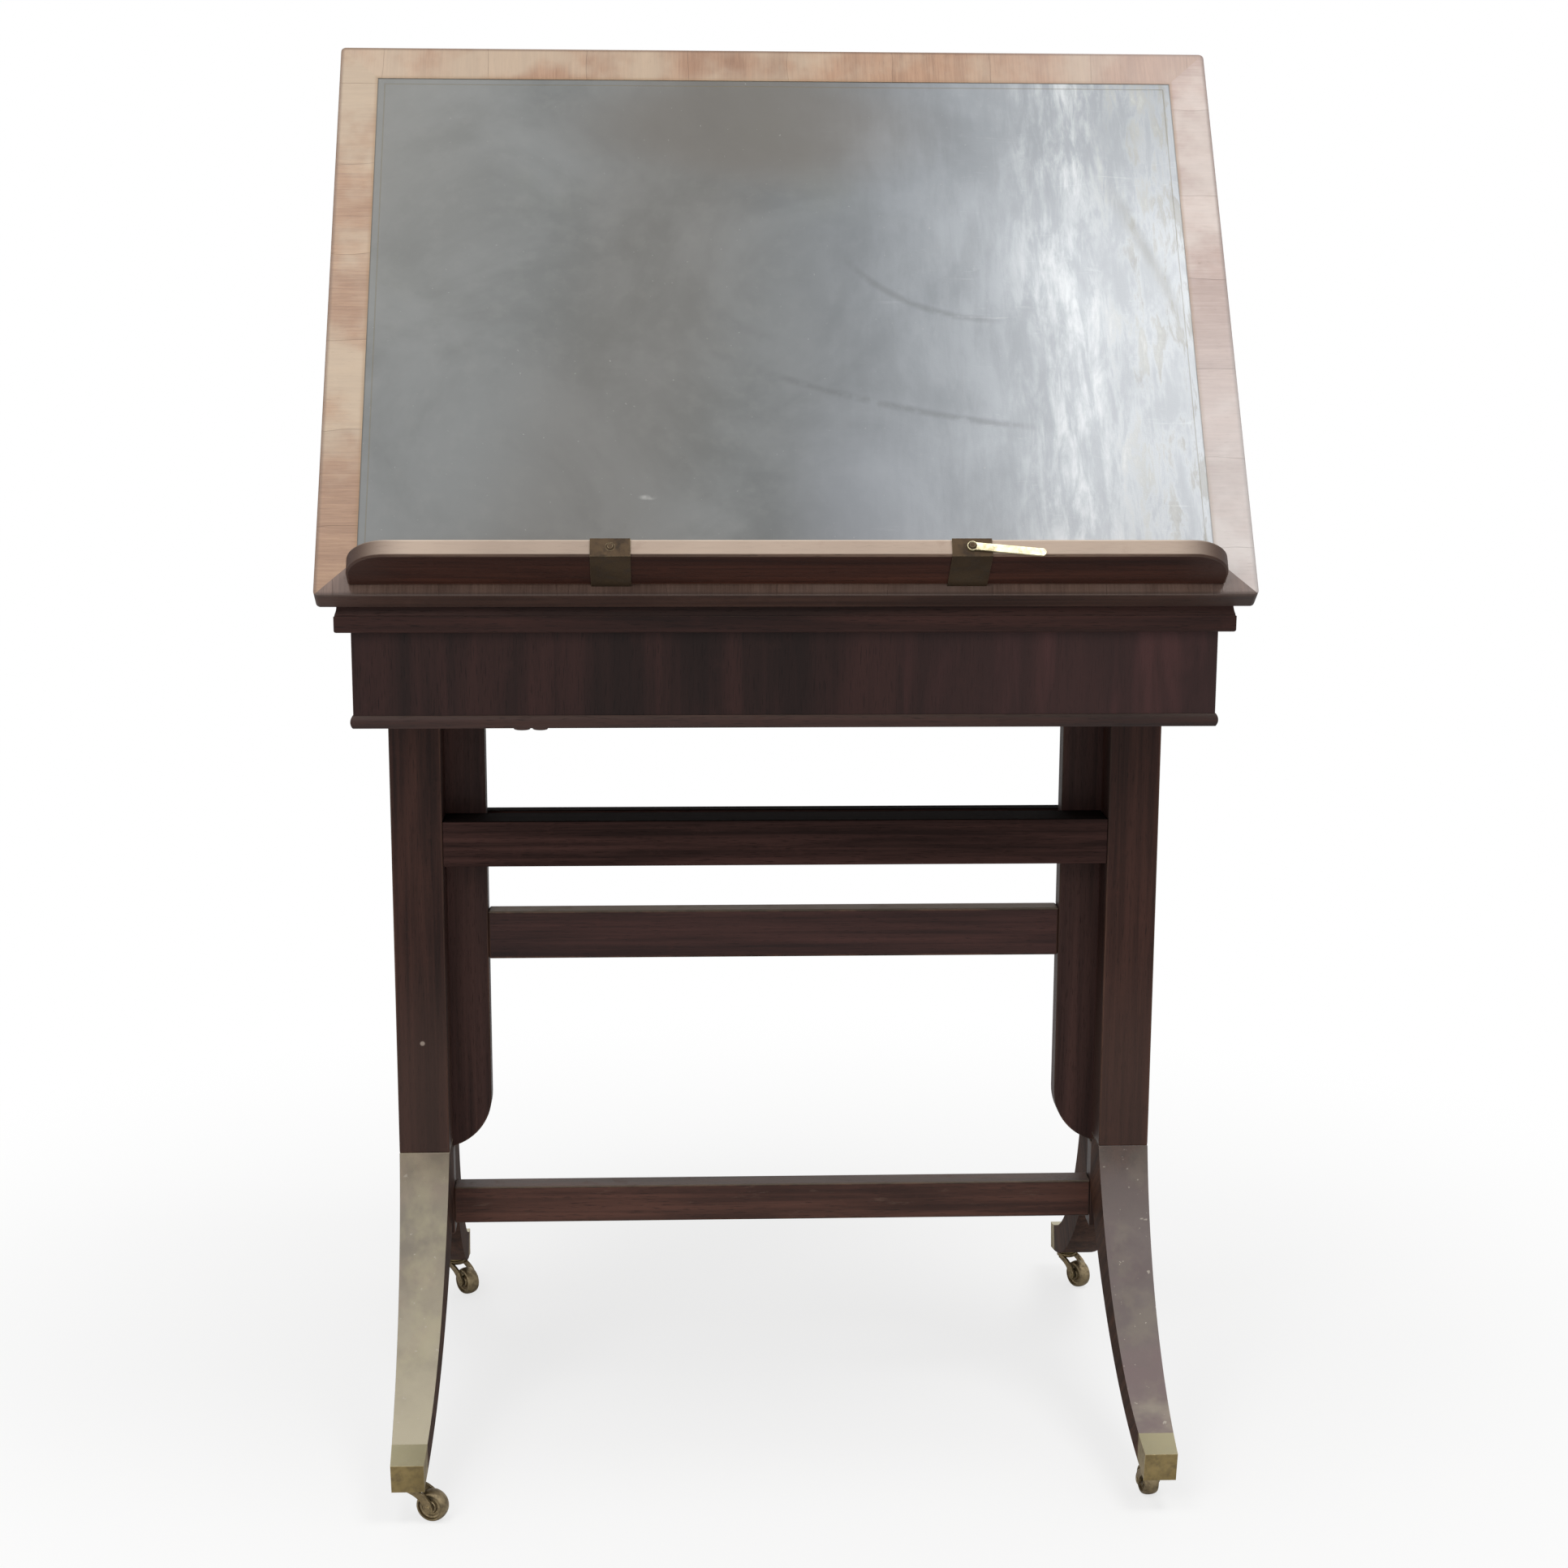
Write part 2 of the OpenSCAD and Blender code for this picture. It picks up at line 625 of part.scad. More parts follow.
// One leaf of a butt hinge about its pin, with the knuckles cut for the other
module hinge_leaf(z0, middle) {
    third = hinge_w / 3;
    difference() {
        union() {
            block([-hinge_w / 2, 0, z0], [hinge_w / 2, leaf_l, z0 + leaf_t]);
            if (middle) bar_x(knuckle_r, third - 2 * turn_gap);
            else
                for (x = [-1, 1]) translate([x * third, 0, 0]) bar_x(knuckle_r, third);
        }
        if (middle) {
            for (x = [-1, 1])
                translate([x * (third + cut / 2), 0, 0])
                    bar_x(knuckle_r + turn_gap, third + 2 * turn_gap + cut);
            bar_x(hinge_pin_r + pin_gap, hinge_w);
        }
        else bar_x(knuckle_r + turn_gap, third);
    }
    if (!middle) bar_x(hinge_pin_r, hinge_w - 2);
}
module hinge_lower_leaves() color("#a58c50") centred()
    for (side = [LEFT, RIGHT])
        translate([side * hinge_x, hinge_y, bed_top_z]) hinge_leaf(-leaf_t, false);

// Puts its children in the top's frame: Y = 0 is its front edge, Z = 0 its
// underside and Z = top_t its face
module on_top(angle = top_tilt) {
    translate([0, hinge_y, bed_top_z]) rotate([angle, 0, 0]) translate([0, -top_lip, 0]) children();
}

module top_panel() color("#4a2619") centred() on_top() difference() {
    translate([0, top_d / 2, 0]) linear_extrude(top_t - border_t) rounded_plan(top_w, top_d, top_corner_r);
    for (side = [LEFT, RIGHT])
        translate([side * hinge_x, top_lip, 0]) {
            bar_x(knuckle_r + turn_gap, hinge_w + 2 * turn_gap);
            block([-hinge_w / 2, 0, -cut], [hinge_w / 2, leaf_l, leaf_t]);
        }
}

leather_w = top_w - 2 * border_w;
leather_d = top_d - 2 * border_w;
// Four strips mitred at the corners, with the leather let in between them
module crossbanding() color("#a06a52") centred() on_top()
    translate([0, top_d / 2, top_t - border_t]) linear_extrude(border_t) difference() {
        rounded_plan(top_w, top_d, top_corner_r);
        square([leather_w, leather_d], center = true);
    }
module leather_skin() color("#5c6064") centred() on_top()
    translate([0, top_d / 2, top_t - border_t]) linear_extrude(border_t - leather_drop)
        square([leather_w, leather_d], center = true);

ledge_mid_y = ledge_setback + ledge_t / 2;
module book_ledge() color("#4a2016") centred() on_top()
    translate([0, ledge_setback + ledge_t, top_t]) rotate([90, 0, 0]) linear_extrude(ledge_t) {
        translate([-ledge_l / 2, 0]) square([ledge_l, ledge_h - ledge_end_r]);
        translate([ledge_end_r - ledge_l / 2, 0]) square([ledge_l - 2 * ledge_end_r, ledge_h]);
        for (x = [-1, 1])
            translate([x * (ledge_l / 2 - ledge_end_r), ledge_h - ledge_end_r]) intersection() {
                circle(ledge_end_r);
                translate([-ledge_end_r, 0]) square([2 * ledge_end_r, ledge_end_r]);
            }
    }

// Brass plates bent over the ledge, each with a rivet. The right one's rivet
// is longer and holds the page arm.
module ledge_plates() color("#6b5c34") centred() on_top()
    for (side = [LEFT, RIGHT])
        translate([side * plate_x, 0, top_t]) {
            block([-plate_w / 2, ledge_setback - plate_t, 0],
                  [plate_w / 2, ledge_setback, ledge_h + plate_t]);
            block([-plate_w / 2, ledge_setback, ledge_h],
                  [plate_w / 2, ledge_setback + ledge_t, ledge_h + plate_t]);
            shank = side == RIGHT ? arm_t + 2 * pin_gap : 0;
            translate([0, ledge_mid_y, ledge_h + plate_t]) {
                cylinder(r = rivet_r, h = shank + cut);
                translate([0, 0, shank]) cylinder(r1 = rivet_r * 1.7, r2 = rivet_r, h = rivet_r * 0.6);
            }
        }

module page_arm() color("#d8c890") centred() on_top()
    translate([plate_x, ledge_mid_y, top_t + ledge_h + plate_t + pin_gap]) rotate([0, 0, -arm_angle])
        difference() {
            linear_extrude(arm_t) {
                circle(arm_w / 2 + 0.8);
                translate([0, -arm_w / 2]) square([arm_l, arm_w]);
                translate([arm_l, 0]) circle(arm_w / 2);
            }
            translate([0, 0, -cut]) cylinder(r = rivet_r + pin_gap, h = arm_t + 2 * cut);
        }

module hinge_upper_leaves() color("#a58c50") centred() on_top()
    for (side = [LEFT, RIGHT])
        translate([side * hinge_x, top_lip, 0]) hinge_leaf(0, true);

// A bracket for each strut arm: a plate under the top, two ears and a pin
module strut_brackets() color("#a58c50") centred() on_top() {
    ear_in = strut_w / 2 + turn_gap;
    ear_out = ear_in + bracket_t;
    ear_r = strut_t / 2;
    for (side = [LEFT, RIGHT])
        translate([side * strut_x, top_lip + strut_s, 0]) {
            block([-ear_out, -2.4 * ear_r, -bracket_t], [ear_out, 2.4 * ear_r, 0]);
            for (x = [-1, 1])
                translate([x * (ear_in + ear_out) / 2, 0, 0]) rotate([90, 0, 90])
                    linear_extrude(bracket_t, center = true) {
                        translate([0, -strut_drop]) circle(ear_r);
                        translate([-ear_r, -strut_drop]) square([2 * ear_r, strut_drop]);
                    }
            translate([0, 0, -strut_drop]) bar_x(strut_pin_r, 2 * ear_out);
        }
}

// Puts its children in the strut's frame: Y runs from its pivot to its foot
module on_strut() {
    on_top() translate([0, top_lip + strut_s, -strut_drop]) rotate([-2 * top_tilt, 0, 0]) children();
}

module strut_arm(side) on_strut() translate([side * strut_x, 0, 0]) difference() {
    union() {
        bar_x(strut_t / 2, strut_w);
        block([-strut_w / 2, 0, -strut_t / 2], [strut_w / 2, strut_l, strut_t / 2]);
    }
    bar_x(strut_pin_r + pin_gap, strut_w + 2 * cut);
    translate([0, strut_l, 0]) bar_x(foot_r, strut_w + 2 * cut);
}
module strut_arm_left() color("#5f3a2a") centred() strut_arm(LEFT);
module strut_arm_right() color("#5f3a2a") centred() strut_arm(RIGHT);
module strut_cross_rail() color("#5f3a2a") centred() on_strut() {
    half = strut_x - strut_w / 2;
    block([-half, cross_rail_y, -cross_rail_t / 2], [half, cross_rail_y + cross_rail_w, cross_rail_t / 2]);
}
module strut_foot_bar() color("#553224") centred() on_strut()
    translate([0, strut_l, 0]) bar_x(foot_r, 2 * rack_x + rack_w + 4);

// Centre line of the fork's cheek, from the crown down to the axle
function cheek_mid(s) = [
    2 * s * (1 - s) * trail * 0.9 + s * s * trail,
    (1 - s) * (1 - s) * (crown_z + crown_t / 2) + 2 * s * (1 - s) * crown_z * 0.9 + s * s * wheel_r
];
function cheek_dir(s) = cheek_mid(s + 0.01) - cheek_mid(s - 0.01);
function cheek_edge(s, w) =
    cheek_mid(s) + w * [-cheek_dir(s)[1], cheek_dir(s)[0]] / norm(cheek_dir(s));
module cheek_plan() {
    steps = 8;
    top_half = crown_t / 2;
    end_half = axle_r * 2;
    outer = [for (i = [0:steps]) cheek_edge(i / steps, top_half + (end_half - top_half) * i / steps)];
    inner = [for (i = [0:steps]) cheek_edge(i / steps, -crown_t - (end_half - crown_t) * i / steps)];
    intersection() {
        polygon(concat(outer, [for (i = [steps:-1:0]) inner[i]]));
        translate([-crown_r, 0]) square([crown_r + 2 * trail, crown_z + crown_t]);
    }
    translate([trail, wheel_r]) circle(end_half);
}

// Caster fork with its crown, stem and riveted axle, about the pivot
module fork() {
    translate([0, 0, crown_z]) cylinder(r = crown_r, h = crown_t);
    translate([0, 0, crown_z]) cylinder(r = stem_r, h = crown_t + stem_l);
    for (y = [cheek_y, -cheek_y - cheek_t])
        translate([0, y + cheek_t, 0]) rotate([90, 0, 0]) linear_extrude(cheek_t) cheek_plan();
    translate([trail, 0, wheel_r]) bar_y(axle_r, -cheek_y - cheek_t - 0.6, cheek_y + cheek_t + 0.6);
}

// Turned wheel with a rim, a thin web and a hub
module wheel() {
    rim_w = wheel_w / 2;
    web_w = wheel_w * 0.28;
    hub_r = axle_r * 2.2;
    rim_r = wheel_r * 0.76;
    section = [
        [axle_r + pin_gap, -rim_w * 0.86], [hub_r, -rim_w * 0.86], [hub_r * 1.1, -web_w],
        [rim_r, -web_w], [rim_r * 1.06, -rim_w], [wheel_r * 0.94, -rim_w], [wheel_r, -rim_w * 0.6],
        [wheel_r, rim_w * 0.6], [wheel_r * 0.94, rim_w], [rim_r * 1.06, rim_w], [rim_r, web_w],
        [hub_r * 1.1, web_w], [hub_r, rim_w * 0.86], [axle_r + pin_gap, rim_w * 0.86]
    ];
    translate([trail, 0, wheel_r]) rotate([90, 0, 0]) rotate_extrude() polygon(section);
}

// Puts a caster's piece under one corner, turned to the way it trails
module at_caster(side, end, angle) {
    translate([side * leg_x, end * caster_y, 0]) rotate([0, 0, angle]) children();
}
module fork_front_left() color("#a08c50") centred() at_caster(LEFT, FRONT, trail_front_left) fork();
module fork_front_right() color("#a08c50") centred() at_caster(RIGHT, FRONT, trail_front_right) fork();
module fork_rear_left() color("#a08c50") centred() at_caster(LEFT, REAR, trail_rear_left) fork();
module fork_rear_right() color("#a08c50") centred() at_caster(RIGHT, REAR, trail_rear_right) fork();
module wheel_front_left() color("#b09c60") centred() at_caster(LEFT, FRONT, trail_front_left) wheel();
module wheel_front_right() color("#b09c60") centred() at_caster(RIGHT, FRONT, trail_front_right) wheel();
module wheel_rear_left() color("#b09c60") centred() at_caster(LEFT, REAR, trail_rear_left) wheel();
module wheel_rear_right() color("#b09c60") centred() at_caster(RIGHT, REAR, trail_rear_right) wheel();

upright_front_left();
upright_front_right();
upright_rear_left();
upright_rear_right();
core_left();
core_right();
front_rail();
rear_rail();
stretcher();
leg_front_left();
leg_front_right();
leg_rear_left();
leg_rear_right();
cap_front_left();
cap_front_right();
cap_rear_left();
cap_rear_right();
screw_plates();
stile_left();
stile_right();
slide_rail();
bearer_left();
bearer_right();
frieze_front();
frieze_right();
frieze_back();
frieze_left();
cock_bead();
moulding_front();
moulding_right();
moulding_back();
moulding_left();
bed_panel();
rack_left();
rack_right();
hinge_lower_leaves();
top_panel();
crossbanding();
leather_skin();
book_ledge();
ledge_plates();
hinge_upper_leaves();
strut_brackets();
strut_arm_left();
strut_arm_right();
strut_cross_rail();
strut_foot_bar();
page_arm();
thumb_screw_left();
thumb_screw_right();
fork_front_left();
fork_front_right();
fork_rear_left();
fork_rear_right();
wheel_front_left();
wheel_front_right();
wheel_rear_left();
wheel_rear_right();
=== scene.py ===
import json
from math import cos, pi, radians, sin

import bmesh
import bpy
import numpy as np
from mathutils import Matrix, Vector


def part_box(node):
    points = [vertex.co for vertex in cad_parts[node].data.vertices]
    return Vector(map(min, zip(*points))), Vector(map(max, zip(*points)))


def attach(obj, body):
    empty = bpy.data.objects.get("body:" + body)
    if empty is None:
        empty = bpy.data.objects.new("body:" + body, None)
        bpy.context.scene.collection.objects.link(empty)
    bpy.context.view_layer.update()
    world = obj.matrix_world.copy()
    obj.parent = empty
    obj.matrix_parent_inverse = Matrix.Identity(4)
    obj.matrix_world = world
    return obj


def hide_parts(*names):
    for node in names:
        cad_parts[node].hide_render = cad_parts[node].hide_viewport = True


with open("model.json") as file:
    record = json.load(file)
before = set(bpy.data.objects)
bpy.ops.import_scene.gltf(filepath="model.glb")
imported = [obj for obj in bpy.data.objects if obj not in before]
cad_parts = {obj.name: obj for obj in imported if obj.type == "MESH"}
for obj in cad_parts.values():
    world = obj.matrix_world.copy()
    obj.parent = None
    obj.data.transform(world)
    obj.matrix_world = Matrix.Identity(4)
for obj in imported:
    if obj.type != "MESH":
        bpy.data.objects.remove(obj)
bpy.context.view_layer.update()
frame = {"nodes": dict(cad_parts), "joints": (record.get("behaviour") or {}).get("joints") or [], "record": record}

# Uprights: four square posts of French-polished mahogany, two at each end with
# the slide between them. Each is planed from one length, hands have rubbed its
# arrises pale, and it stands on the square shoulder of a leg.
BODY_OF = {node: body for body, nodes in frame["record"]["behaviour"]["bodies"].items() for node in nodes}
SLOT_OF = {part["node"]: part["material_slot"] for part in frame["record"]["subparts"]}


class Link:
    """One output of a finish's nodes. Arithmetic on links adds Math nodes."""

    def __init__(self, finish, socket):
        self.finish = finish
        self.socket = socket

    def maths(self, operation, *terms):
        return self.finish.add("ShaderNodeMath", {"operation": operation}, dict(enumerate(terms)))

    def __add__(self, other):
        return self.maths("ADD", self, other)

    __radd__ = __add__

    def __sub__(self, other):
        return self.maths("SUBTRACT", self, other)

    def __rsub__(self, other):
        return self.maths("SUBTRACT", other, self)

    def __mul__(self, other):
        return self.maths("MULTIPLY", self, other)

    __rmul__ = __mul__

    def __truediv__(self, other):
        return self.maths("DIVIDE", self, other)

    def __pow__(self, other):
        return self.maths("POWER", self, other)

    def size(self):
        return self.maths("ABSOLUTE", self)

    def whole(self):
        return self.maths("FLOOR", self)

    def least(self, other):
        return self.maths("MINIMUM", self, other)

    def most(self, other):
        return self.maths("MAXIMUM", self, other)

    def ramp(self, low, high):
        """0 up to low, 1 from high on, and a smooth rise between the two."""
        return self.finish.add("ShaderNodeMapRange", {"interpolation_type": "SMOOTHSTEP"},
                               {0: self, 1: low, 2: high})


class Finish:
    """A material whose nodes are written as expressions."""

    def __init__(self, name, **fixed):
        self.material = bpy.data.materials.new(name)
        self.material.use_nodes = True
        self.tree = self.material.node_tree
        self.shader = next(n for n in self.tree.nodes if n.type == "BSDF_PRINCIPLED")
        for socket, value in fixed.items():
            self.shader.inputs[socket.replace("_", " ")].default_value = value
        self.place = self.add("ShaderNodeTexCoord", {}, {}, out=3)

    def add(self, kind, settings, sockets, out=0):
        node = self.tree.nodes.new(kind)
        for key, value in settings.items():
            setattr(node, key, value)
        for key, value in sockets.items():
            if isinstance(value, Link):
                self.tree.links.new(value.socket, node.inputs[key])
            else:
                node.inputs[key].default_value = value
        return Link(self, node.outputs[out])

    def stretch(self, by, at=None):
        return self.add("ShaderNodeVectorMath", {"operation": "MULTIPLY"}, {0: at or self.place, 1: by})

    def axis(self, which, at=None):
        return self.add("ShaderNodeSeparateXYZ", {}, {0: at or self.place}, out=which)

    def uv(self):
        return self.add("ShaderNodeTexCoord", {}, {}, out=2)

    def noise(self, at, scale, detail=4.0, rough=0.55, bend=0.0):
        sockets = {"Vector": at, "Scale": scale, "Detail": detail, "Roughness": rough, "Distortion": bend}
        return self.add("ShaderNodeTexNoise", {}, sockets)

    def away(self, point, at=None):
        """Distance in metres from a point of the coordinates."""
        sockets = {0: at or self.place, 1: point}
        return self.add("ShaderNodeVectorMath", {"operation": "DISTANCE"}, sockets, out=1)

    def mix(self, share, first, second):
        """first where share is 0 and second where it is 1, for colours."""
        sides = {0: share}
        for key, side in ((6, first), (7, second)):
            sides[key] = side if isinstance(side, Link) else (*side, 1.0)
        return self.add("ShaderNodeMix", {"data_type": "RGBA", "clamp_factor": True}, sides, out=2)

    def upward(self, low, high):
        """0 on faces that look sideways and 1 on those that look up."""
        return self.axis(2, self.add("ShaderNodeNewGeometry", {}, {}, out=1)).ramp(low, high)

    def bump(self, height, depth, strength=1.0):
        return self.add("ShaderNodeBump", {}, {"Height": height, "Distance": depth, "Strength": strength})

    def wear(self, **links):
        for socket, link in links.items():
            self.tree.links.new(link.socket, self.shader.inputs[socket.replace("_", " ")])
            setattr(self, socket.lower(), link)
        return self

    def mark(self, share, colour, rough=None):
        """Lays a colour over the finish where share is 1, and may change its gloss."""
        self.wear(Base_Color=self.mix(share, self.base_color, colour))
        if rough is not None:
            self.wear(Roughness=self.roughness * (1.0 - share) + share * rough)


def mahogany(name, along, dark, light, bloom_and_sheen=(0.30, 0.25, 0.19), haze=0.12, gloss=0.36, figure=0.5,
             turn=(0.0, 0.0, 0.0), shine=0.2):
    """Polished mahogany with its grain along axis 0, 1 or 2 of coordinates turned
    by turn. Noise stretched nearly fiftyfold along the grain gives the bands, a
    finer and harder cut of it the open pores, and a broad one the ribbon figure.
    Faces that look upwards carry a pale bloom, as thick as haze: partly bloom in the polish and partly a painted
    sheen of the light from above."""
    f = Finish(name, Specular_IOR_Level=shine)
    at = f.add("ShaderNodeMapping", {}, {"Vector": f.place, "Rotation": turn}) if any(turn) else f.place
    band_run, pore_run, ribbon_run = [150.0] * 3, [1500.0] * 3, [26.0] * 3
    band_run[along], pore_run[along], ribbon_run[along] = 3.2, 75.0, 2.2
    bands = f.noise(f.stretch(band_run, at), 1.0, 6.0, 0.62, 0.6)
    pores = f.noise(f.stretch(pore_run, at), 1.0, 2.0, 0.5).ramp(0.58, 0.70)
    ribbon = f.noise(f.stretch(ribbon_run, at), 1.0, 3.0, 0.5, 1.2)
    cloud = f.noise(f.place, 5.0, 3.0, 0.6)
    rubs = f.noise(f.place, 38.0, 5.0, 0.7).ramp(0.56, 0.72)
    tone = bands * (1.0 - figure) + ribbon * figure
    wood = f.mix(tone.ramp(0.34, 0.68), dark, light)
    wood = f.mix(pores * 0.55, wood, tuple(0.35 * c for c in dark))
    # Upward faces are paled towards the bloom colour: partly real bloom in the polish and partly a painted sheen
    # of the light from above.
    film = (f.upward(0.12, 0.95) * haze * (0.6 + 0.8 * cloud)).least(1.0)
    wood = f.mix(film, wood, bloom_and_sheen)
    wood = f.mix(rubs * 0.10, wood, tuple(min(1.0, 2.0 * c) for c in light))
    rough = gloss + 0.10 * cloud + 0.10 * bands + 0.12 * rubs + 0.14 * film
    relief = f.bump(bands * 0.3 - pores * 0.8, 0.00025, 0.55)
    f.film = film
    return f.wear(Base_Color=wood, Roughness=rough, Normal=relief)


def linked(name, mesh, node_or_body, slot, *stands_for):
    """Puts a mesh into the scene at the origin and on its body. Its slot is not used."""
    piece = bpy.data.objects.new(name, mesh)
    bpy.context.scene.collection.objects.link(piece)
    if stands_for:
        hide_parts(*stands_for)
    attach(piece, BODY_OF.get(node_or_body, node_or_body))
    return piece


def worn(node, edge, finish, arris=None, turns=2, sharp=32.0):
    """A copy of a CAD node with its loose triangles merged, its flat faces made
    whole, and every edge over sharp degrees rounded to edge metres. The rounded
    strips take the arris finish, where the polish is rubbed away."""
    shape = bmesh.new()
    shape.from_mesh(frame["nodes"][node].data)
    bmesh.ops.remove_doubles(shape, verts=shape.verts, dist=2e-6)
    bmesh.ops.dissolve_limit(shape, angle_limit=radians(0.4), verts=shape.verts, edges=shape.edges)
    mesh = bpy.data.meshes.new(node + "_worn")
    shape.to_mesh(mesh)
    shape.free()
    mesh.materials.append(finish.material)
    mesh.shade_smooth()
    mesh.set_sharp_from_angle(angle=radians(sharp))
    piece = linked(node + "_worn", mesh, node, SLOT_OF[node], node)
    if edge > 0:
        eased(piece, edge, arris, turns, sharp)
    return piece


def eased(piece, edge, arris=None, turns=2, sharp=32.0):
    """Rounds every edge of a piece that turns more than sharp degrees."""
    bevel = piece.modifiers.new("arris", "BEVEL")
    bevel.width = edge
    bevel.segments = turns
    bevel.limit_method = "ANGLE"
    bevel.angle_limit = radians(sharp)
    bevel.harden_normals = True
    bevel.use_clamp_overlap = True
    if arris:
        piece.data.materials.append(arris.material)
        bevel.material = 1


post_finish = mahogany("polished_mahogany_upright", 2, (0.0125, 0.0056, 0.0046), (0.056, 0.0235, 0.0175),
                       shine=0.14)
# The posts are paler at their feet, and the front left one shows a small pale spot.
post_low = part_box("upright_front_left")[0]
SPOT_IN, SPOT_HEIGHT = 0.022, 0.338
pale_spot_place = (post_low[0] + SPOT_IN, post_low[1], SPOT_HEIGHT)
post_finish.mark((1.0 - post_finish.axis(2).ramp(0.30, 0.44)) * 0.36, (0.085, 0.050, 0.040))
post_finish.mark(1.0 - post_finish.away(pale_spot_place).ramp(0.0012, 0.0026), (0.30, 0.24, 0.20), 0.25)
rubbed_arris = mahogany("rubbed_mahogany_arris", 2, (0.022, 0.0105, 0.0072), (0.098, 0.046, 0.030),
                        figure=0.75, gloss=0.46, haze=0.5)
for node in ("upright_front_left", "upright_front_right", "upright_rear_left", "upright_rear_right"):
    worn(node, 0.0012, post_finish, rubbed_arris)

# Cores: the strip that closes the outer side of each slide, made in one with the
# block below it that takes the legs and the stretcher. The same wood, glued up.
core_finish = mahogany("polished_mahogany_core", 2, (0.014, 0.0062, 0.0045), (0.050, 0.021, 0.0135))
for node in ("core_left", "core_right"):
    worn(node, 0.0010, core_finish, rubbed_arris)

# Fixed rails: two rails tenoned between the ends, one before and one behind the slide. Their polish is dull, and
# their upward faces are painted near black: painted shade under the top.
rail_finish = mahogany("dull_mahogany_rail", 0, (0.0195, 0.0105, 0.0092), (0.064, 0.031, 0.0265),
                       figure=0.35, haze=0.0, gloss=0.62, shine=0.05)
# Upward faces painted near black: painted shade.
rail_finish.mark(rail_finish.upward(0.3, 0.8) * 0.85, (0.0055, 0.0042, 0.0036), 0.9)
for node in ("front_rail", "rear_rail"):
    worn(node, 0.0014, rail_finish)

# Stretcher: the low mahogany rail between the two end blocks, which ties the stand
# together. Shoes have scuffed it along its length.
stretcher_finish = mahogany("polished_mahogany_stretcher", 0, (0.036, 0.0155, 0.0115),
                            (0.112, 0.0475, 0.0335))
scuffs = stretcher_finish.noise(stretcher_finish.stretch((24.0, 120.0, 120.0)), 1.0, 5.0, 0.7)
stretcher_finish.mark(scuffs.ramp(0.58, 0.70) * 0.35, (0.15, 0.095, 0.070), 0.6)
worn("stretcher", 0.0016, stretcher_finish, rubbed_arris)

# Sabre legs: sawn to a sweep from thick mahogany with the grain along the chord.
# Where they face up to the light their polish is paled, partly by bloom and partly by a painted sheen, brightest
# on the front left leg and weakest on the rear ones, and it carries pale specks.
CHORD = radians(50.3)
REAR_LOOK = ((0.13, 0.095, 0.066), 0.4, (0.07, 0.05, 0.04), 0.2, 0.08)
# For each leg: its bloom and painted sheen and how thick that lies, the painted shade high on the leg, how much
# the painted highlight lightens the foot, and up to what height.
LEG_LOOKS = {"front_left": ((0.410, 0.357, 0.275), 1.9, (0.255, 0.225, 0.185), 0.75, 0.165),
             "front_right": ((0.232, 0.199, 0.184), 1.7, (0.170, 0.138, 0.134), 0.60, 0.095),
             "rear_left": REAR_LOOK, "rear_right": REAR_LOOK}
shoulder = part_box("upright_front_left")[0][2]
for corner, (bloom_and_sheen, haze, shaded_bloom, foot_highlight_share, foot_height) in LEG_LOOKS.items():
    lean = -CHORD if "front" in corner else CHORD
    leg_finish = mahogany("bloomed_mahogany_leg_" + corner, 2, (0.023, 0.0115, 0.0080),
                          (0.074, 0.036, 0.0235), bloom_and_sheen, haze, gloss=0.56, figure=0.4,
                          turn=(lean, 0.0, 0.0), shine=0.05)
    film, height = leg_finish.film, leg_finish.axis(2)
    # The upper part of the leg is painted a duller grey: painted shade.
    risen = height.ramp(shoulder - 0.22, shoulder - 0.07)
    painted_shade_high = risen * (1.0 - height.ramp(shoulder - 0.030, shoulder - 0.006))
    cloudy = leg_finish.noise(leg_finish.place, 13.0, 4.0, 0.62).ramp(0.38, 0.62)
    leg_finish.mark(film * painted_shade_high * (0.35 + 0.55 * cloudy), shaded_bloom)
    pink = leg_finish.noise(leg_finish.place, 9.0, 3.0, 0.6, 0.5).ramp(0.44, 0.60)
    green = leg_finish.noise(leg_finish.stretch((1.0, 1.0, 0.7)), 21.0, 4.0, 0.65).ramp(0.48, 0.66)
    leg_finish.mark(film * pink * 0.5, tuple(c * k for c, k in zip(bloom_and_sheen, (1.00, 0.84, 0.92))))
    leg_finish.mark(film * green * 0.4, tuple(c * k for c, k in zip(bloom_and_sheen, (1.20, 1.24, 1.06))))
    # The foot is painted paler: a painted highlight where the leg turns up to the light.
    foot_highlight = 1.0 - (height + 0.03 * cloudy).ramp(0.045, foot_height)
    leg_finish.mark(film * foot_highlight * foot_highlight_share, (0.52, 0.47, 0.345), 0.45)
    specks = leg_finish.noise(leg_finish.place, 200.0, 2.0, 0.5).ramp(0.70, 0.75)
    leg_finish.mark(specks * film * 0.7, (0.52, 0.47, 0.40), 0.5)
    worn("leg_" + corner, 0.0014, leg_finish, sharp=26.0)


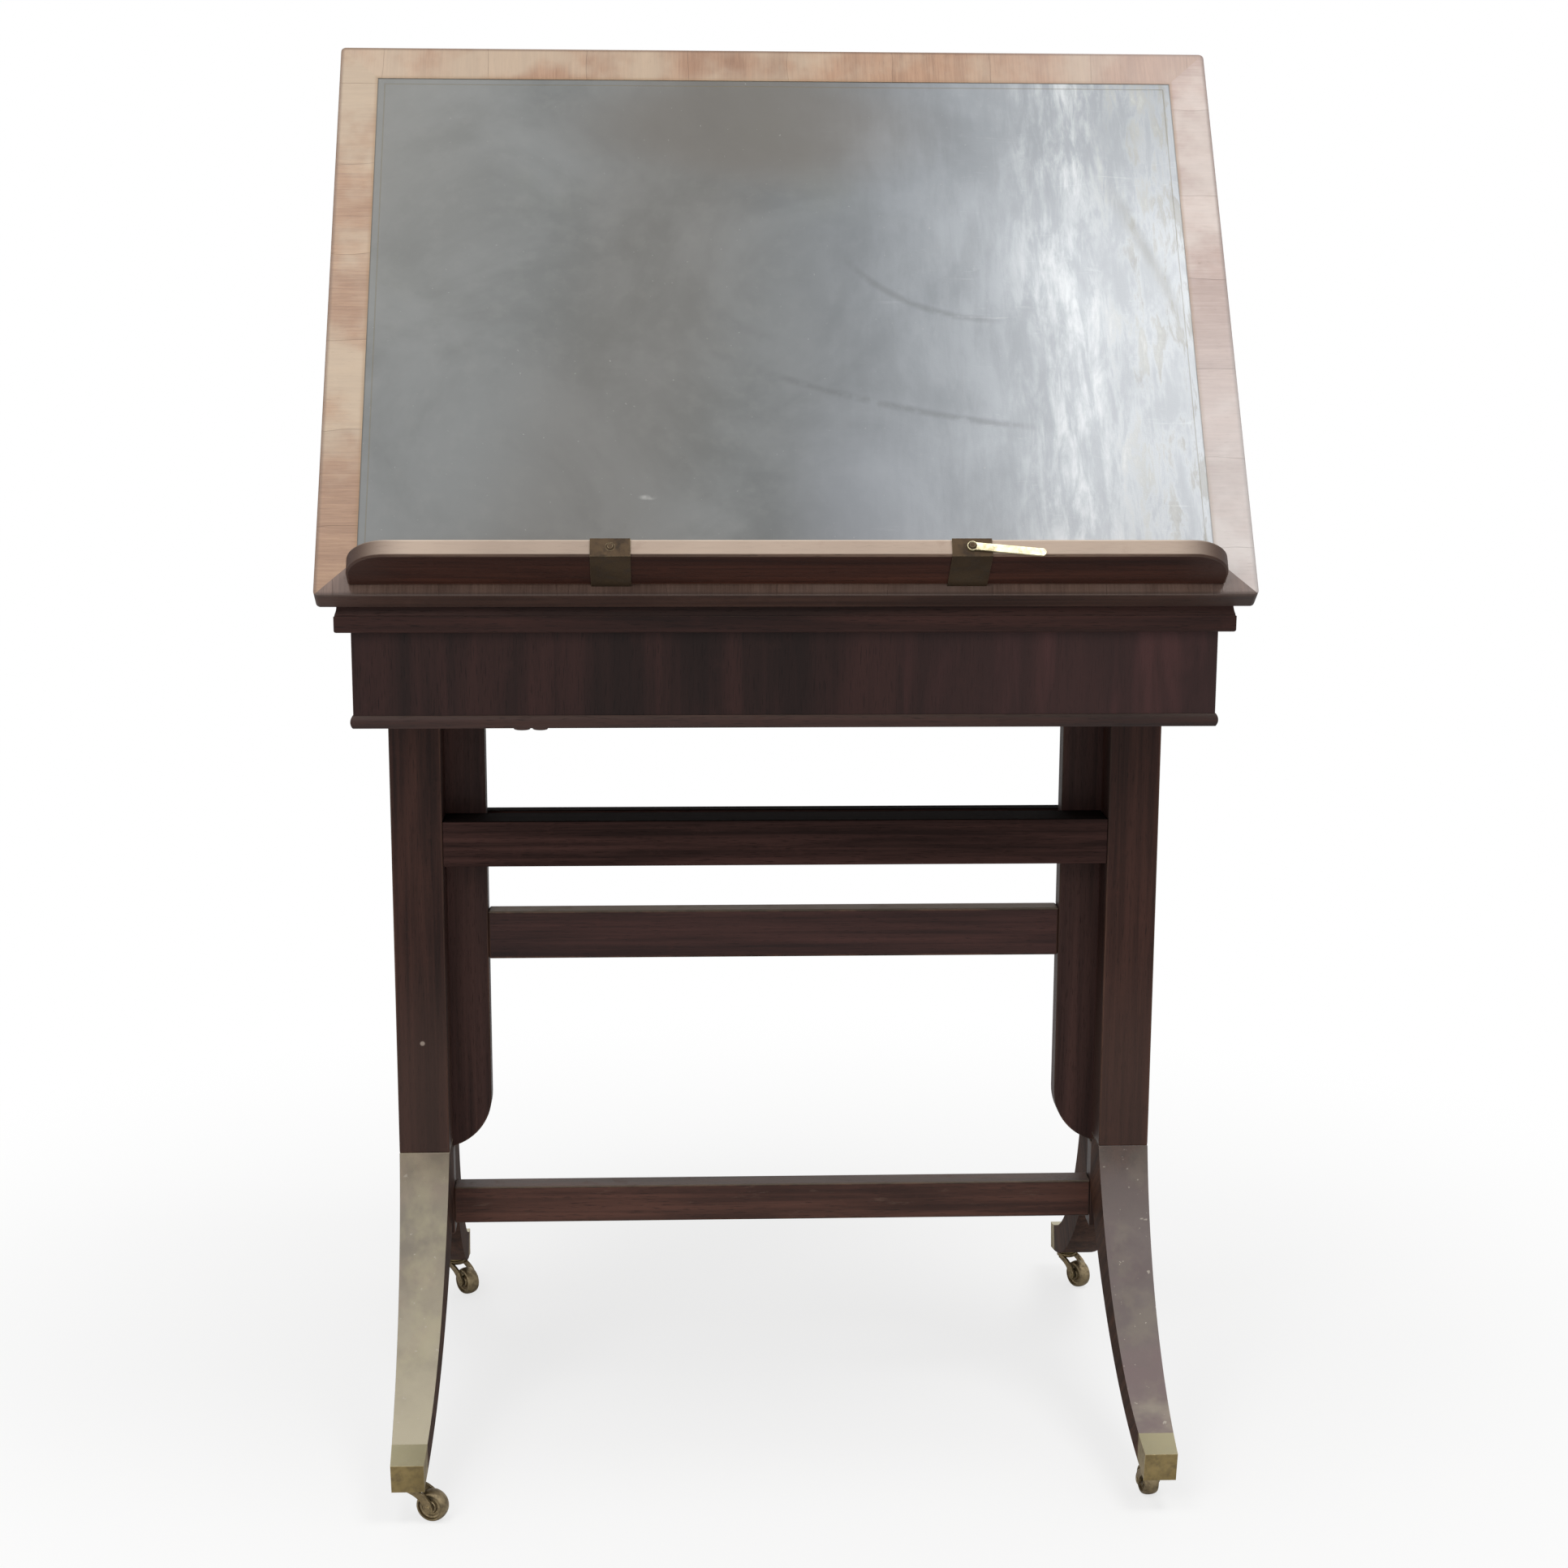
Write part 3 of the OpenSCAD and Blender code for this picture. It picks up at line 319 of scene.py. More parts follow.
# Toe caps: square cast brass cups driven over the toes of the legs. Tarnish browns their sides, and their upper
# faces are painted paler: a painted highlight.
def tarnished(name, bright, dull, tarnish, rough=0.38, grain=240.0, spotting=0.8):
    """Old cast or rolled brass: metal whose colour goes from bright to dull in
    clouds, with brown tarnish in the spots that a harder noise cuts out, and fine
    scratches from a noise stretched along one way."""
    f = Finish(name, Metallic=1.0)
    cloud = f.noise(f.place, grain * 0.25, 4.0, 0.6)
    spots = f.noise(f.place, grain, 5.0, 0.65).ramp(0.44, 0.82)
    lines = f.noise(f.stretch((90.0, 2600.0, 700.0)), 1.0, 3.0, 0.6)
    skin = f.mix(cloud.ramp(0.3, 0.7), bright, dull)
    skin = f.mix(spots * spotting, skin, tarnish)
    relief = f.bump(spots * 0.5 + cloud * 0.3 + lines * 0.25, 0.0003, 0.5)
    return f.wear(Base_Color=skin, Roughness=rough + 0.25 * spots + 0.12 * cloud + 0.10 * lines,
                  Metallic=1.0 - 0.5 * spots, Normal=relief)


cap_finish = tarnished("tarnished_brass_cap", (0.295, 0.223, 0.102), (0.184, 0.137, 0.062),
                       (0.092, 0.065, 0.033), 0.36, grain=130.0, spotting=0.6)
# Upper faces painted pale: a painted highlight.
cap_finish.mark(cap_finish.upward(0.45, 0.90) * 0.8, (0.47, 0.43, 0.285), 0.42)
rubbed_brass = tarnished("rubbed_brass_arris", (0.72, 0.60, 0.34), (0.50, 0.40, 0.21), (0.16, 0.12, 0.06),
                         0.26, spotting=0.5)
for node in ("cap_front_left", "cap_front_right", "cap_rear_left", "cap_rear_right"):
    worn(node, 0.0014, cap_finish, rubbed_brass, turns=3)

# Casters: cranked cast brass forks on smooth stems, with a solid turned brass wheel
# on a riveted axle. The treads are worn round.
JOINT = {joint["name"]: joint for joint in frame["joints"]}
fork_finish = tarnished("tarnished_brass_fork", (0.27, 0.205, 0.115), (0.14, 0.105, 0.058),
                        (0.05, 0.037, 0.022), 0.36)
wheel_finish = tarnished("turned_brass_wheel", (0.31, 0.245, 0.145), (0.17, 0.130, 0.077),
                         (0.06, 0.044, 0.027), 0.34)
WHEEL_R, WHEEL_W, BORE_R, TREAD_ROUND = 0.013, 0.013, 0.00205, 0.0022


def turned(name, section, centre, spin, steps):
    """A closed section of radius and distance along the spin axis, turned about
    that axis in even steps, as points and four-sided faces."""
    way = np.linspace(0.0, 2.0 * pi, steps, endpoint=False)
    spin = np.array(spin, float) / np.linalg.norm(spin)
    side = np.cross(spin, (0.0, 0.0, 1.0))
    side /= np.linalg.norm(side)
    ahead = np.cross(spin, side)
    arm = np.cos(way)[:, None] * side + np.sin(way)[:, None] * ahead
    points = np.array(centre) + section[None, :, :1] * arm[:, None, :] + section[None, :, 1:] * spin
    count = len(section)
    ids = np.arange(steps * count).reshape(steps, count)
    beside, beyond = np.roll(ids, -1, 0), np.roll(ids, -1, 1)
    faces = np.stack([ids, beside, np.roll(beside, -1, 1), beyond], -1).reshape(-1, 4)
    return meshed(name, points.reshape(-1, 3), faces)


def meshed(name, points, faces, finish=None, uv=None, sharp=30.0):
    """A mesh from whole arrays of points and faces, with its normals outwards."""
    mesh = bpy.data.meshes.new(name)
    mesh.from_pydata(points.tolist(), [], faces.tolist())
    if uv is not None:
        corner = np.empty(len(mesh.loops), int)
        mesh.loops.foreach_get("vertex_index", corner)
        mesh.uv_layers.new(name="UVMap").data.foreach_set("uv", uv[corner].ravel())
    shape = bmesh.new()
    shape.from_mesh(mesh)
    bmesh.ops.recalc_face_normals(shape, faces=shape.faces)
    shape.to_mesh(mesh)
    shape.free()
    mesh.shade_smooth()
    mesh.set_sharp_from_angle(angle=radians(sharp))
    if finish:
        mesh.materials.append(finish.material)
    return mesh


half_w, hub_r = WHEEL_W / 2, BORE_R * 2.3
arc = np.linspace(-0.5 * pi, 0.5 * pi, 13)
tread = np.stack([WHEEL_R - TREAD_ROUND + TREAD_ROUND * np.cos(arc), half_w * 0.94 * np.sin(arc)], -1)
flank = np.array([
    (WHEEL_R * 0.78, half_w * 0.94), (WHEEL_R * 0.74, half_w * 0.62), (WHEEL_R * 0.62, half_w * 0.56),
    (WHEEL_R * 0.60, half_w * 0.48), (hub_r * 1.25, half_w * 0.52), (hub_r * 1.08, half_w * 0.80),
    (hub_r * 0.94, half_w * 0.86), (BORE_R, half_w * 0.86)])
wheel_section = np.concatenate([tread, flank, flank[::-1] * (1.0, -1.0)])
for corner in ("front_left", "front_right", "rear_left", "rear_right"):
    worn("fork_" + corner, 0.0005, fork_finish, rubbed_brass, turns=3)
    axle = JOINT["wheel_%s_turn" % corner]
    wheel = turned("turned_wheel_" + corner, wheel_section, axle["pos_m"], axle["axis"], 72)
    wheel.materials.append(wheel_finish.material)
    linked(wheel.name, wheel, "wheel_" + corner, "brass", "wheel_" + corner)

# Thumb screws and their oval plates: turned brass screws with flat wings, which
# press on the stiles to hold the height. Each plate is fixed by two small screws.
screw_finish = tarnished("brass_thumb_screw", (0.52, 0.40, 0.19), (0.36, 0.27, 0.12), (0.12, 0.085, 0.04),
                         0.27)
worn("screw_plates", 0.0004, screw_finish, rubbed_brass)
for node in ("thumb_screw_left", "thumb_screw_right"):
    worn(node, 0.0006, screw_finish, rubbed_brass, turns=3)


def slab(name, upper, lower, finish, uv=None, sharp=30.0):
    """A closed slab between two grids of points: the upper one and the lower one,
    which has the same rows and columns, joined by a wall round their rims."""
    rows, columns = upper.shape[:2]
    count = rows * columns
    ids = np.arange(count).reshape(rows, columns)
    top = np.stack([ids[:-1, :-1], ids[1:, :-1], ids[1:, 1:], ids[:-1, 1:]], -1).reshape(-1, 4)
    rim = np.concatenate([ids[0, :-1], ids[:-1, -1], ids[-1, :0:-1], ids[:0:-1, 0]])
    after = np.roll(rim, -1)
    wall = np.stack([rim, after, after + count, rim + count], -1)
    points = np.concatenate([upper.reshape(-1, 3), lower.reshape(-1, 3)])
    faces = np.concatenate([top, top[:, ::-1] + count, wall])
    if uv is not None:
        uv = np.concatenate([uv.reshape(-1, 2)] * 2)
    return meshed(name, points, faces, finish, uv, sharp)


def screw_head(name, centre, out, slot_way, radius, rise, finish):
    """A screw head. Rows run along the slot from rim to rim, each as long as the
    circle is wide there. The two rows inside the slot's walls, slot of the radius
    from its middle, lie on its floor. A round head rises as a dome. A head whose
    rise is below 0 is flat, lies that deep in its countersink and narrows towards
    its shank."""
    out = np.array(out, float)
    along = np.array(slot_way, float)
    across = np.cross(out, along)
    slot = 0.17
    rows = np.array([slot, slot + 0.001, 0.36, 0.6, 0.8, 0.93, 0.995])
    rows = np.concatenate([-rows[::-1], rows])
    share = np.linspace(-1.0, 1.0, 13)[None, :] * np.sqrt(1.0 - rows ** 2)[:, None]
    rows = rows[:, None] + 0.0 * share
    in_slot = np.abs(rows) <= slot
    if rise > 0:
        height = rise * np.sqrt(np.clip(1.02 - rows ** 2 - share ** 2, 0.0, 1.0))
        height, depth, taper = np.where(in_slot, 0.12 * rise, height), 0.0004, 1.0
    else:
        height, depth, taper = np.where(in_slot, rise - 0.0005, rise), 0.0010, 0.6
    flat = radius * (share[..., None] * along + rows[..., None] * across)
    lower = np.array(centre) + taper * flat - depth * out
    return slab(name, np.array(centre) + flat + height[..., None] * out, lower, finish, sharp=40.0)


PLATE_SCREW_R, PLATE_SCREW_RISE, PLATE_SCREW_OFF = 0.0021, 0.0006, 0.0125
plate_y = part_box("screw_plates")[1][1]
for side in (-1, 1):
    low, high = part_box("thumb_screw_left" if side < 0 else "thumb_screw_right")
    middle_x, middle_z = (low[0] + high[0]) / 2, JOINT["thumb_screw_left_turn"]["pos_m"][2]
    for end in (-1, 1):
        lean = end * side + 0.4
        head = screw_head("plate_screw", (middle_x, plate_y, middle_z + end * PLATE_SCREW_OFF), (0, 1, 0),
                          (cos(lean), 0.0, sin(lean)), PLATE_SCREW_R, PLATE_SCREW_RISE, screw_finish)
        linked("plate_screw", head, "screw_plates", "brass")

# Sliding stiles: two broad boards with rounded feet that run in the slots of the
# stand. Years of rising and sinking have drawn faint upright lines in the polish.
stile_finish = mahogany("sliding_mahogany_stile", 2, (0.0265, 0.0130, 0.0112), (0.071, 0.0335, 0.0280),
                        shine=0.12)
tracks = stile_finish.noise(stile_finish.stretch((900.0, 900.0, 1.5)), 1.0, 3.0, 0.6).ramp(0.62, 0.74)
stile_finish.mark(tracks * 0.3, (0.10, 0.055, 0.040), 0.5)
for node in ("stile_left", "stile_right"):
    worn(node, 0.0012, stile_finish, rubbed_arris)

# Sliding rail: mahogany, fixed between the two stiles so that they rise together.
# Its upper edge is worn, and its upward faces are paled by a strong painted highlight where they catch the light.
# The thick pale bloom on its upward faces is a painted highlight.
slide_rail_finish = mahogany("polished_mahogany_slide_rail", 0, (0.018, 0.0072, 0.0064),
                             (0.068, 0.027, 0.0225), bloom_and_sheen=(0.25, 0.170, 0.105), haze=0.7)
worn("slide_rail", 0.0018, slide_rail_finish, rubbed_arris)

# Bearers: two bars of plain quartered wood that run inside the frieze from front to
# back, each on the top of a stile and beside its tongue.
bearer_finish = mahogany("plain_wood_bearer", 1, (0.075, 0.038, 0.020), (0.165, 0.088, 0.047), gloss=0.6)
for node in ("bearer_left", "bearer_right"):
    worn(node, 0.0006, bearer_finish)

# Frieze: boards faced with figured veneer whose bands stand upright. The front's
# right half is redder and livelier than its left, as two leaves never match.
frieze_finish = mahogany("figured_mahogany_frieze", 2, (0.0150, 0.0076, 0.0068), (0.038, 0.0160, 0.0140),
                         figure=0.7, gloss=0.32, shine=0.16)
flame = frieze_finish.noise(frieze_finish.stretch((34.0, 34.0, 5.0)), 1.0, 3.0, 0.5, 0.8).ramp(0.5, 0.68)
lively = frieze_finish.axis(0).ramp(0.0, 0.22)
frieze_finish.mark(flame * lively * 0.55, (0.085, 0.032, 0.031))
frieze_finish.mark(lively * 0.28, (0.085, 0.042, 0.041))
for node in ("frieze_front", "frieze_back", "frieze_left", "frieze_right"):
    worn(node, 0.0005, frieze_finish, rubbed_arris)

# Glue blocks: short three-sided sticks rubbed into the corners between the frieze
# and the panel over it, out of sight beyond the bearers.
block_finish = mahogany("plain_wood_glue_block", 0, (0.10, 0.055, 0.030), (0.20, 0.115, 0.065), gloss=0.66)
BLOCK_LEG, BLOCK_LENGTH, BLOCK_FROM_END, BLOCK_TRIM = 0.015, 0.052, 0.036, 0.00005


def glue_block(name, corner, away, along):
    """A stick whose section is a right-angled triangle with its long side hollow
    by a tenth of its legs. Rows run along the stick and columns across it. The
    corner is trimmed by a hair, so that no face shrinks to a line there."""
    corner, away, along = (np.array(v, float) for v in (corner, away, along))
    below = np.array((0.0, 0.0, -1.0))
    share = np.linspace(0.0, 1.0, 7)[:, None]
    hollow = 1.0 - 0.4 * share * (1.0 - share)
    across = BLOCK_LEG * hollow * ((1.0 - share) * away + share * below)
    ends = (np.array([-0.5, -0.47, 0.47, 0.5]) * BLOCK_LENGTH)[:, None, None] * along
    trim = np.array([0.93, 1.0, 1.0, 0.93])[:, None, None]
    upper = corner + ends + across * trim
    lower = corner + ends + BLOCK_TRIM * (away + share * below)
    return slab(name, upper, lower, block_finish)


front_y, back_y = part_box("frieze_front")[1][1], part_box("frieze_back")[0][1]
bed_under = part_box("bed_panel")[0][2]
for side, end_board in ((-1, "frieze_left"), (1, "frieze_right")):
    low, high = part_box(end_board)
    inner_x = high[0] if side < 0 else low[0]
    for share in (0.2, 0.5, 0.8):
        place = (inner_x, front_y + share * (back_y - front_y), bed_under)
        block = glue_block("glue_block", place, (-side, 0, 0), (0, 1, 0))
        linked("glue_block", block, end_board, "plain_wood")
    for inner_y, into in ((front_y, 1), (back_y, -1)):
        place = (inner_x - side * BLOCK_FROM_END, inner_y, bed_under)
        block = glue_block("glue_block", place, (0, into, 0), (1, 0, 0))
        linked("glue_block", block, end_board, "plain_wood")

# Cock bead: a half-round strip glued round the frieze's lower edge, browner than
# the veneer. Glue has swollen it in two places under the left of the front.
bead_finish = mahogany("polished_mahogany_bead", 0, (0.018, 0.0090, 0.0074), (0.056, 0.0250, 0.0195),
                       shine=0.24)
worn("cock_bead", 0.0003, bead_finish, sharp=25.0)

# Each swelling's place across the table, and its length.
SWELLINGS = ((-0.204, 0.013), (-0.190, 0.012))
SWELLING_DEPTH, SWELLING_DROP, SWELLING_BACK, SWELLING_SUNK = 0.0052, 0.0022, 0.0042, 0.0002


def swelling(name, centre, length):
    """A blister under the bead. What it drops goes with the sine of the way round
    it and the 0.6th power of the sine of the way along it, and its depth from front
    to back with the sine along it. It narrows to an eighth at its ends."""
    along = np.linspace(0.0, pi, 15)[:, None]
    around = np.linspace(0.0, pi, 9)[None, :]
    x = -0.5 * length * np.cos(along) + 0.0 * around
    y = -0.5 * SWELLING_DEPTH * np.cos(around) * (0.12 + 0.88 * np.sin(along))
    z = -SWELLING_DROP * np.sin(around) * (0.03 + 0.97 * np.sin(along) ** 0.6)
    upper = np.stack([x, y, z], -1) + np.array(centre)
    inside_bead = np.array((0, 0, centre[2] + 0.0006))
    return slab(name, upper, upper * (1, 1, 0) + inside_bead, bead_finish)


bead_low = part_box("cock_bead")[0]
for across, length in SWELLINGS:
    place = (across, bead_low[1] + SWELLING_BACK, bead_low[2] + SWELLING_SUNK)
    linked("bead_swelling", swelling("bead_swelling", place, length), "cock_bead", "mahogany")

# Mouldings: a shallow hollow over a fillet with a soft lower edge, mitred round
# the frieze. The fillet's arris is rubbed and shows as a thin pale line.
for turn, nodes in ((0, ("moulding_front", "moulding_back")), (1, ("moulding_left", "moulding_right"))):
    moulding_finish = mahogany(("long", "short")[turn] + "_mahogany_moulding", turn,
                               (0.0145, 0.0068, 0.0058), (0.048, 0.0195, 0.0158), shine=0.14)
    for node in nodes:
        worn(node, 0.0004, moulding_finish, rubbed_arris, sharp=25.0)

# Bed panel: the floor of the box under the top, one plain board that rests on the
# frieze's upper edges. It was never polished, and dust lies on it in patches.
bed_finish = mahogany("plain_wood_bed", 0, (0.085, 0.040, 0.021), (0.19, 0.095, 0.050), gloss=0.6)
dust = bed_finish.noise(bed_finish.place, 14.0, 6.0, 0.7).ramp(0.45, 0.75)
bed_finish.mark(dust * 0.3, (0.21, 0.165, 0.12), 0.8)
worn("bed_panel", 0.0004, bed_finish)

# Racks: two saw-toothed strips of hard wood, glued on the bed panel from front to
# back. The strut's foot bar drops between their teeth.
rack_finish = mahogany("plain_wood_rack", 1, (0.11, 0.055, 0.028), (0.23, 0.125, 0.066), gloss=0.55)
for node in ("rack_left", "rack_right"):
    worn(node, 0.0002, rack_finish)

# Butt hinges: rolled brass, let into the moulding below and the top above, each
# leaf held by three screws.
hinge_finish = tarnished("brass_hinge", (0.50, 0.39, 0.19), (0.32, 0.24, 0.11), (0.10, 0.07, 0.035), 0.32)
SLOPE = radians(54.0)
tilt_axis = JOINT["top_tilt"]["pos_m"]
TOP_LIP, TOP_T = 0.012, 0.018
RIGHTWARD, UPRIGHT = np.array((1.0, 0.0, 0.0)), np.array((0.0, 0.0, 1.0))
UP_SLOPE, OUT_OF_TOP = np.array((0.0, cos(SLOPE), sin(SLOPE))), np.array((0.0, -sin(SLOPE), cos(SLOPE)))


def on_top(across, up, out):
    """Points of the sloping top: across its width from the middle, up it from its
    front edge, and out from its underside."""
    across, up, out = (part[..., None] for part in np.broadcast_arrays(across, up, out))
    return np.array(tilt_axis) + across * RIGHTWARD + (up - TOP_LIP) * UP_SLOPE + out * OUT_OF_TOP


def countersunk(piece, spots, radius, depth):
    """Cuts a cone into a piece at each spot, a point and the way out of the face:
    radius wide at the face and half as wide at its bottom."""
    cones = bmesh.new()
    for point, out in spots:
        turn = Vector(out).to_track_quat("Z", "Y").to_matrix().to_4x4()
        place = Matrix.Translation(Vector(point) - Vector(out) * depth / 2)
        bmesh.ops.create_cone(cones, cap_ends=True, segments=32, radius1=radius / 2, radius2=radius,
                              depth=depth, matrix=place @ turn)
    mesh = bpy.data.meshes.new("countersinks")
    cones.to_mesh(mesh)
    cones.free()
    cutter = bpy.data.objects.new("countersinks", mesh)
    bpy.context.scene.collection.objects.link(cutter)
    cut = piece.modifiers.new("countersinks", "BOOLEAN")
    cut.operation = "DIFFERENCE"
    cut.solver = "EXACT"
    cut.object = cutter
    seen = piece.evaluated_get(bpy.context.evaluated_depsgraph_get())
    whole = bpy.data.meshes.new_from_object(seen)
    piece.modifiers.remove(cut)
    piece.data = whole
    bpy.data.objects.remove(cutter)


# Each head lies in a countersink, a little narrower and lower than its rim. The cut
# starts above the leaf's face, and is as much deeper.
HINGE_HALF, HEAD_R, HEAD_PLAY, HEAD_SUNK = 0.021, 0.0023, 0.0003, 0.0001
SINK, CUT_PAST = 0.0011, 0.0002
SCREW_STEP, OUTER_BACK, MIDDLE_BACK = 0.0145, 0.0105, 0.0150
hinge_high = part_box("hinge_lower_leaves")[1]
lower_spots, upper_spots, slot_leans = [], [], []
for side in (-1, 1):
    hinge_x = side * (hinge_high[0] - HINGE_HALF)
    for step, back in ((-1, OUTER_BACK), (0, MIDDLE_BACK), (1, OUTER_BACK)):
        x = hinge_x + step * SCREW_STEP
        slot_leans.append(0.9 * step + 0.5 * side)
        lower_spots.append((np.array((x, tilt_axis[1] + back, tilt_axis[2])), UPRIGHT))
        upper_spots.append((on_top(x, TOP_LIP + back, 0.0), -OUT_OF_TOP))
for node, spots, up_leaf in (("hinge_lower_leaves", lower_spots, np.array((0.0, 1.0, 0.0))),
                             ("hinge_upper_leaves", upper_spots, UP_SLOPE)):
    leaves = worn(node, 0.0, hinge_finish)
    countersunk(leaves, [(point + CUT_PAST * out, out) for point, out in spots], HEAD_R, SINK + CUT_PAST)
    eased(leaves, 0.0002)
    for (point, out), lean in zip(spots, slot_leans):
        way = cos(lean) * RIGHTWARD + sin(lean) * up_leaf
        head = screw_head("hinge_screw", point, out, way, HEAD_R - HEAD_PLAY, -HEAD_SUNK, hinge_finish)
        linked("hinge_screw", head, node, "brass")

# Top panel: one thick board of mahogany that carries the leather. Its edge is
# polished dark and its underside was left from the plane.
panel_finish = mahogany("polished_mahogany_panel", 0, (0.016, 0.0080, 0.0062), (0.062, 0.030, 0.0215),
                        turn=(-SLOPE, 0.0, 0.0), haze=0.0)
panel_arris = mahogany("rubbed_mahogany_panel_arris", 0, (0.045, 0.026, 0.019), (0.135, 0.078, 0.055),
                       turn=(-SLOPE, 0.0, 0.0))
worn("top_panel", 0.0012, panel_finish, panel_arris)

# Crossbanded border: short leaves of mahogany veneer laid with their grain across
# the edge, mitred at the corners. Sun has bleached them to tan, thin dark glue
# lines part the leaves, and dirt lies along the leather.
TOP_W, TOP_D, BORDER_W, BORDER_T, CORNER_R = 0.712, 0.512, 0.031, 0.0012, 0.004
LEAF, LET_IN = 0.083, 0.00001
# Each strip's side and state, and its dark, light and palest tone.
BORDER_TONES = (
    # The front strip, by the ledge, is painted dark: painted shade.
    ("front", "soiled", (0.085, 0.050, 0.038), (0.20, 0.125, 0.095), (0.17, 0.12, 0.10)),
    ("right", "bleached", (0.27, 0.180, 0.150), (0.42, 0.305, 0.262), (0.58, 0.52, 0.48)),
    ("back", "bleached", (0.225, 0.125, 0.078), (0.40, 0.240, 0.150), (0.45, 0.37, 0.275)),
    ("left", "bleached", (0.235, 0.130, 0.078), (0.41, 0.255, 0.155), (0.46, 0.385, 0.285)))


def border_veneer(name, dark, light, pale):
    """Veneer in the strip's own coordinates, u along it and v in from the edge.
    The leaf number is the whole part of u over the leaf's length, each number draws
    one tone, and the grain runs with v. Dirt darkens the outer edge and browns the
    inner one."""
    f = Finish(name, Specular_IOR_Level=0.35, Coat_Weight=0.15, Coat_Roughness=0.2)
    at = f.uv()
    u, v = f.axis(0, at), f.axis(1, at)
    wander = f.noise(at, 9.0, 2.0) * 0.02
    run = (u + wander) / LEAF
    leaf = run.whole()
    tone = f.add("ShaderNodeTexWhiteNoise", {"noise_dimensions": "1D"}, {"W": leaf}, out=0)
    joint = ((run - leaf) - 0.5).size().ramp(0.4965, 0.4995)
    fine_run = f.add("ShaderNodeCombineXYZ", {}, {0: u * 620.0, 1: v * 26.0, 2: leaf * 7.31})
    grain = f.noise(fine_run, 1.0, 5.0, 0.6, 0.4)
    broad_run = f.add("ShaderNodeCombineXYZ", {}, {0: u * 62.0, 1: v * 9.0, 2: leaf * 3.17})
    ribbon = f.noise(broad_run, 1.0, 3.0, 0.5)
    pores = f.noise(f.stretch((2600.0, 120.0, 1.0), at), 1.0, 2.0).ramp(0.60, 0.72)
    blotch = f.noise(f.place, 17.0, 4.0, 0.6)
    broad = f.noise(f.place, 6.0, 4.0, 0.62, 0.4)
    wood = f.mix((grain * 0.50 + ribbon * 0.38 + tone * 0.16).ramp(0.28, 0.78), dark, light)
    wood = f.mix(pores * 0.35, wood, tuple(0.55 * c for c in dark))
    wood = f.mix((broad * 0.65 + blotch * 0.35).ramp(0.44, 0.60) * 0.6, wood, pale)
    wood = f.mix(joint * 0.45, wood, tuple(0.4 * c for c in dark))
    inner = v.ramp(BORDER_W - 0.0034, BORDER_W - 0.0002)
    wood = f.mix(inner * (0.15 + 0.5 * blotch), wood, (0.26, 0.165, 0.085))
    outer = 1.0 - v.ramp(0.0008, 0.0036)
    wood = f.mix(outer * 0.7, wood, tuple(0.55 * c for c in dark))
    rough = 0.34 + 0.14 * blotch + 0.08 * grain + 0.2 * inner
    relief = f.bump(grain * 0.25 - pores * 0.5 - joint * 1.5 + blotch * 0.8, 0.0003, 0.5)
    return f.wear(Base_Color=wood, Roughness=rough, Normal=relief)


def border_strip(name, turn, finish):
    """One mitred strip. Stations run along the edge and crowd towards its ends by
    the sine, and points run in from the edge, over a quarter circle of radius soft
    and on to the leather. Each station's place shrinks with the distance in, which
    makes the mitres. Near a corner a point's greater offset becomes its distance
    from the corner's centre, so that the square turns into the corner's arc."""
    long, deep = ((TOP_W, TOP_D), (TOP_D, TOP_W))[turn % 2]
    share = np.sin(np.linspace(-0.5 * pi, 0.5 * pi, 97))[:, None]
    arc = np.linspace(0.0, 0.5 * pi, 5)
    soft = 0.0007
    way_in = np.concatenate([soft - soft * np.cos(arc), np.linspace(0.003, BORDER_W, 8)])[None, :]
    drop = np.concatenate([soft - soft * np.sin(arc), np.zeros(8)])[None, :]
    place = share * (long / 2 - way_in)
    edge = deep / 2 - way_in + 0.0 * place
    over_x, over_y = np.abs(place) - (long / 2 - CORNER_R), edge - (deep / 2 - CORNER_R)
    both = (over_x > 0) & (over_y > 0)
    pull = np.where(both, np.maximum(over_x, over_y) / np.maximum(np.hypot(over_x, over_y), 1e-9), 1.0)
    x = np.where(both, np.sign(place) * (long / 2 - CORNER_R + over_x * pull), place)
    y = np.where(both, deep / 2 - CORNER_R + over_y * pull, edge)
    ways = ((x, -y), (y, x), (-x, y), (-y, -x))
    across, up = ways[turn]
    upper = on_top(across, up + TOP_D / 2, TOP_T - drop)
    lower = on_top(across, up + TOP_D / 2, TOP_T - BORDER_T - LET_IN)
    uv = np.stack([place + 1.37 * turn, way_in + 0.0 * place], -1)
    return slab(name, upper, lower, finish, uv)


for turn, (side, state, *tones) in enumerate(BORDER_TONES):
    finish = border_veneer("%s_border_%s" % (state, side), *tones)
    # The right strip's lower part is painted grey-white: painted glare.
    if side == "right":
        finish.mark((1.0 - finish.axis(2).ramp(0.84, 1.02)) * 0.34, (0.60, 0.60, 0.60))
    if side == "back":
        finish.mark(finish.axis(0).ramp(0.12, 0.34) * 0.35, (0.50, 0.42, 0.40))
    name = "border_strip_" + side
    linked(name, border_strip(name, turn, finish), "crossbanding", "border_veneer", "crossbanding")

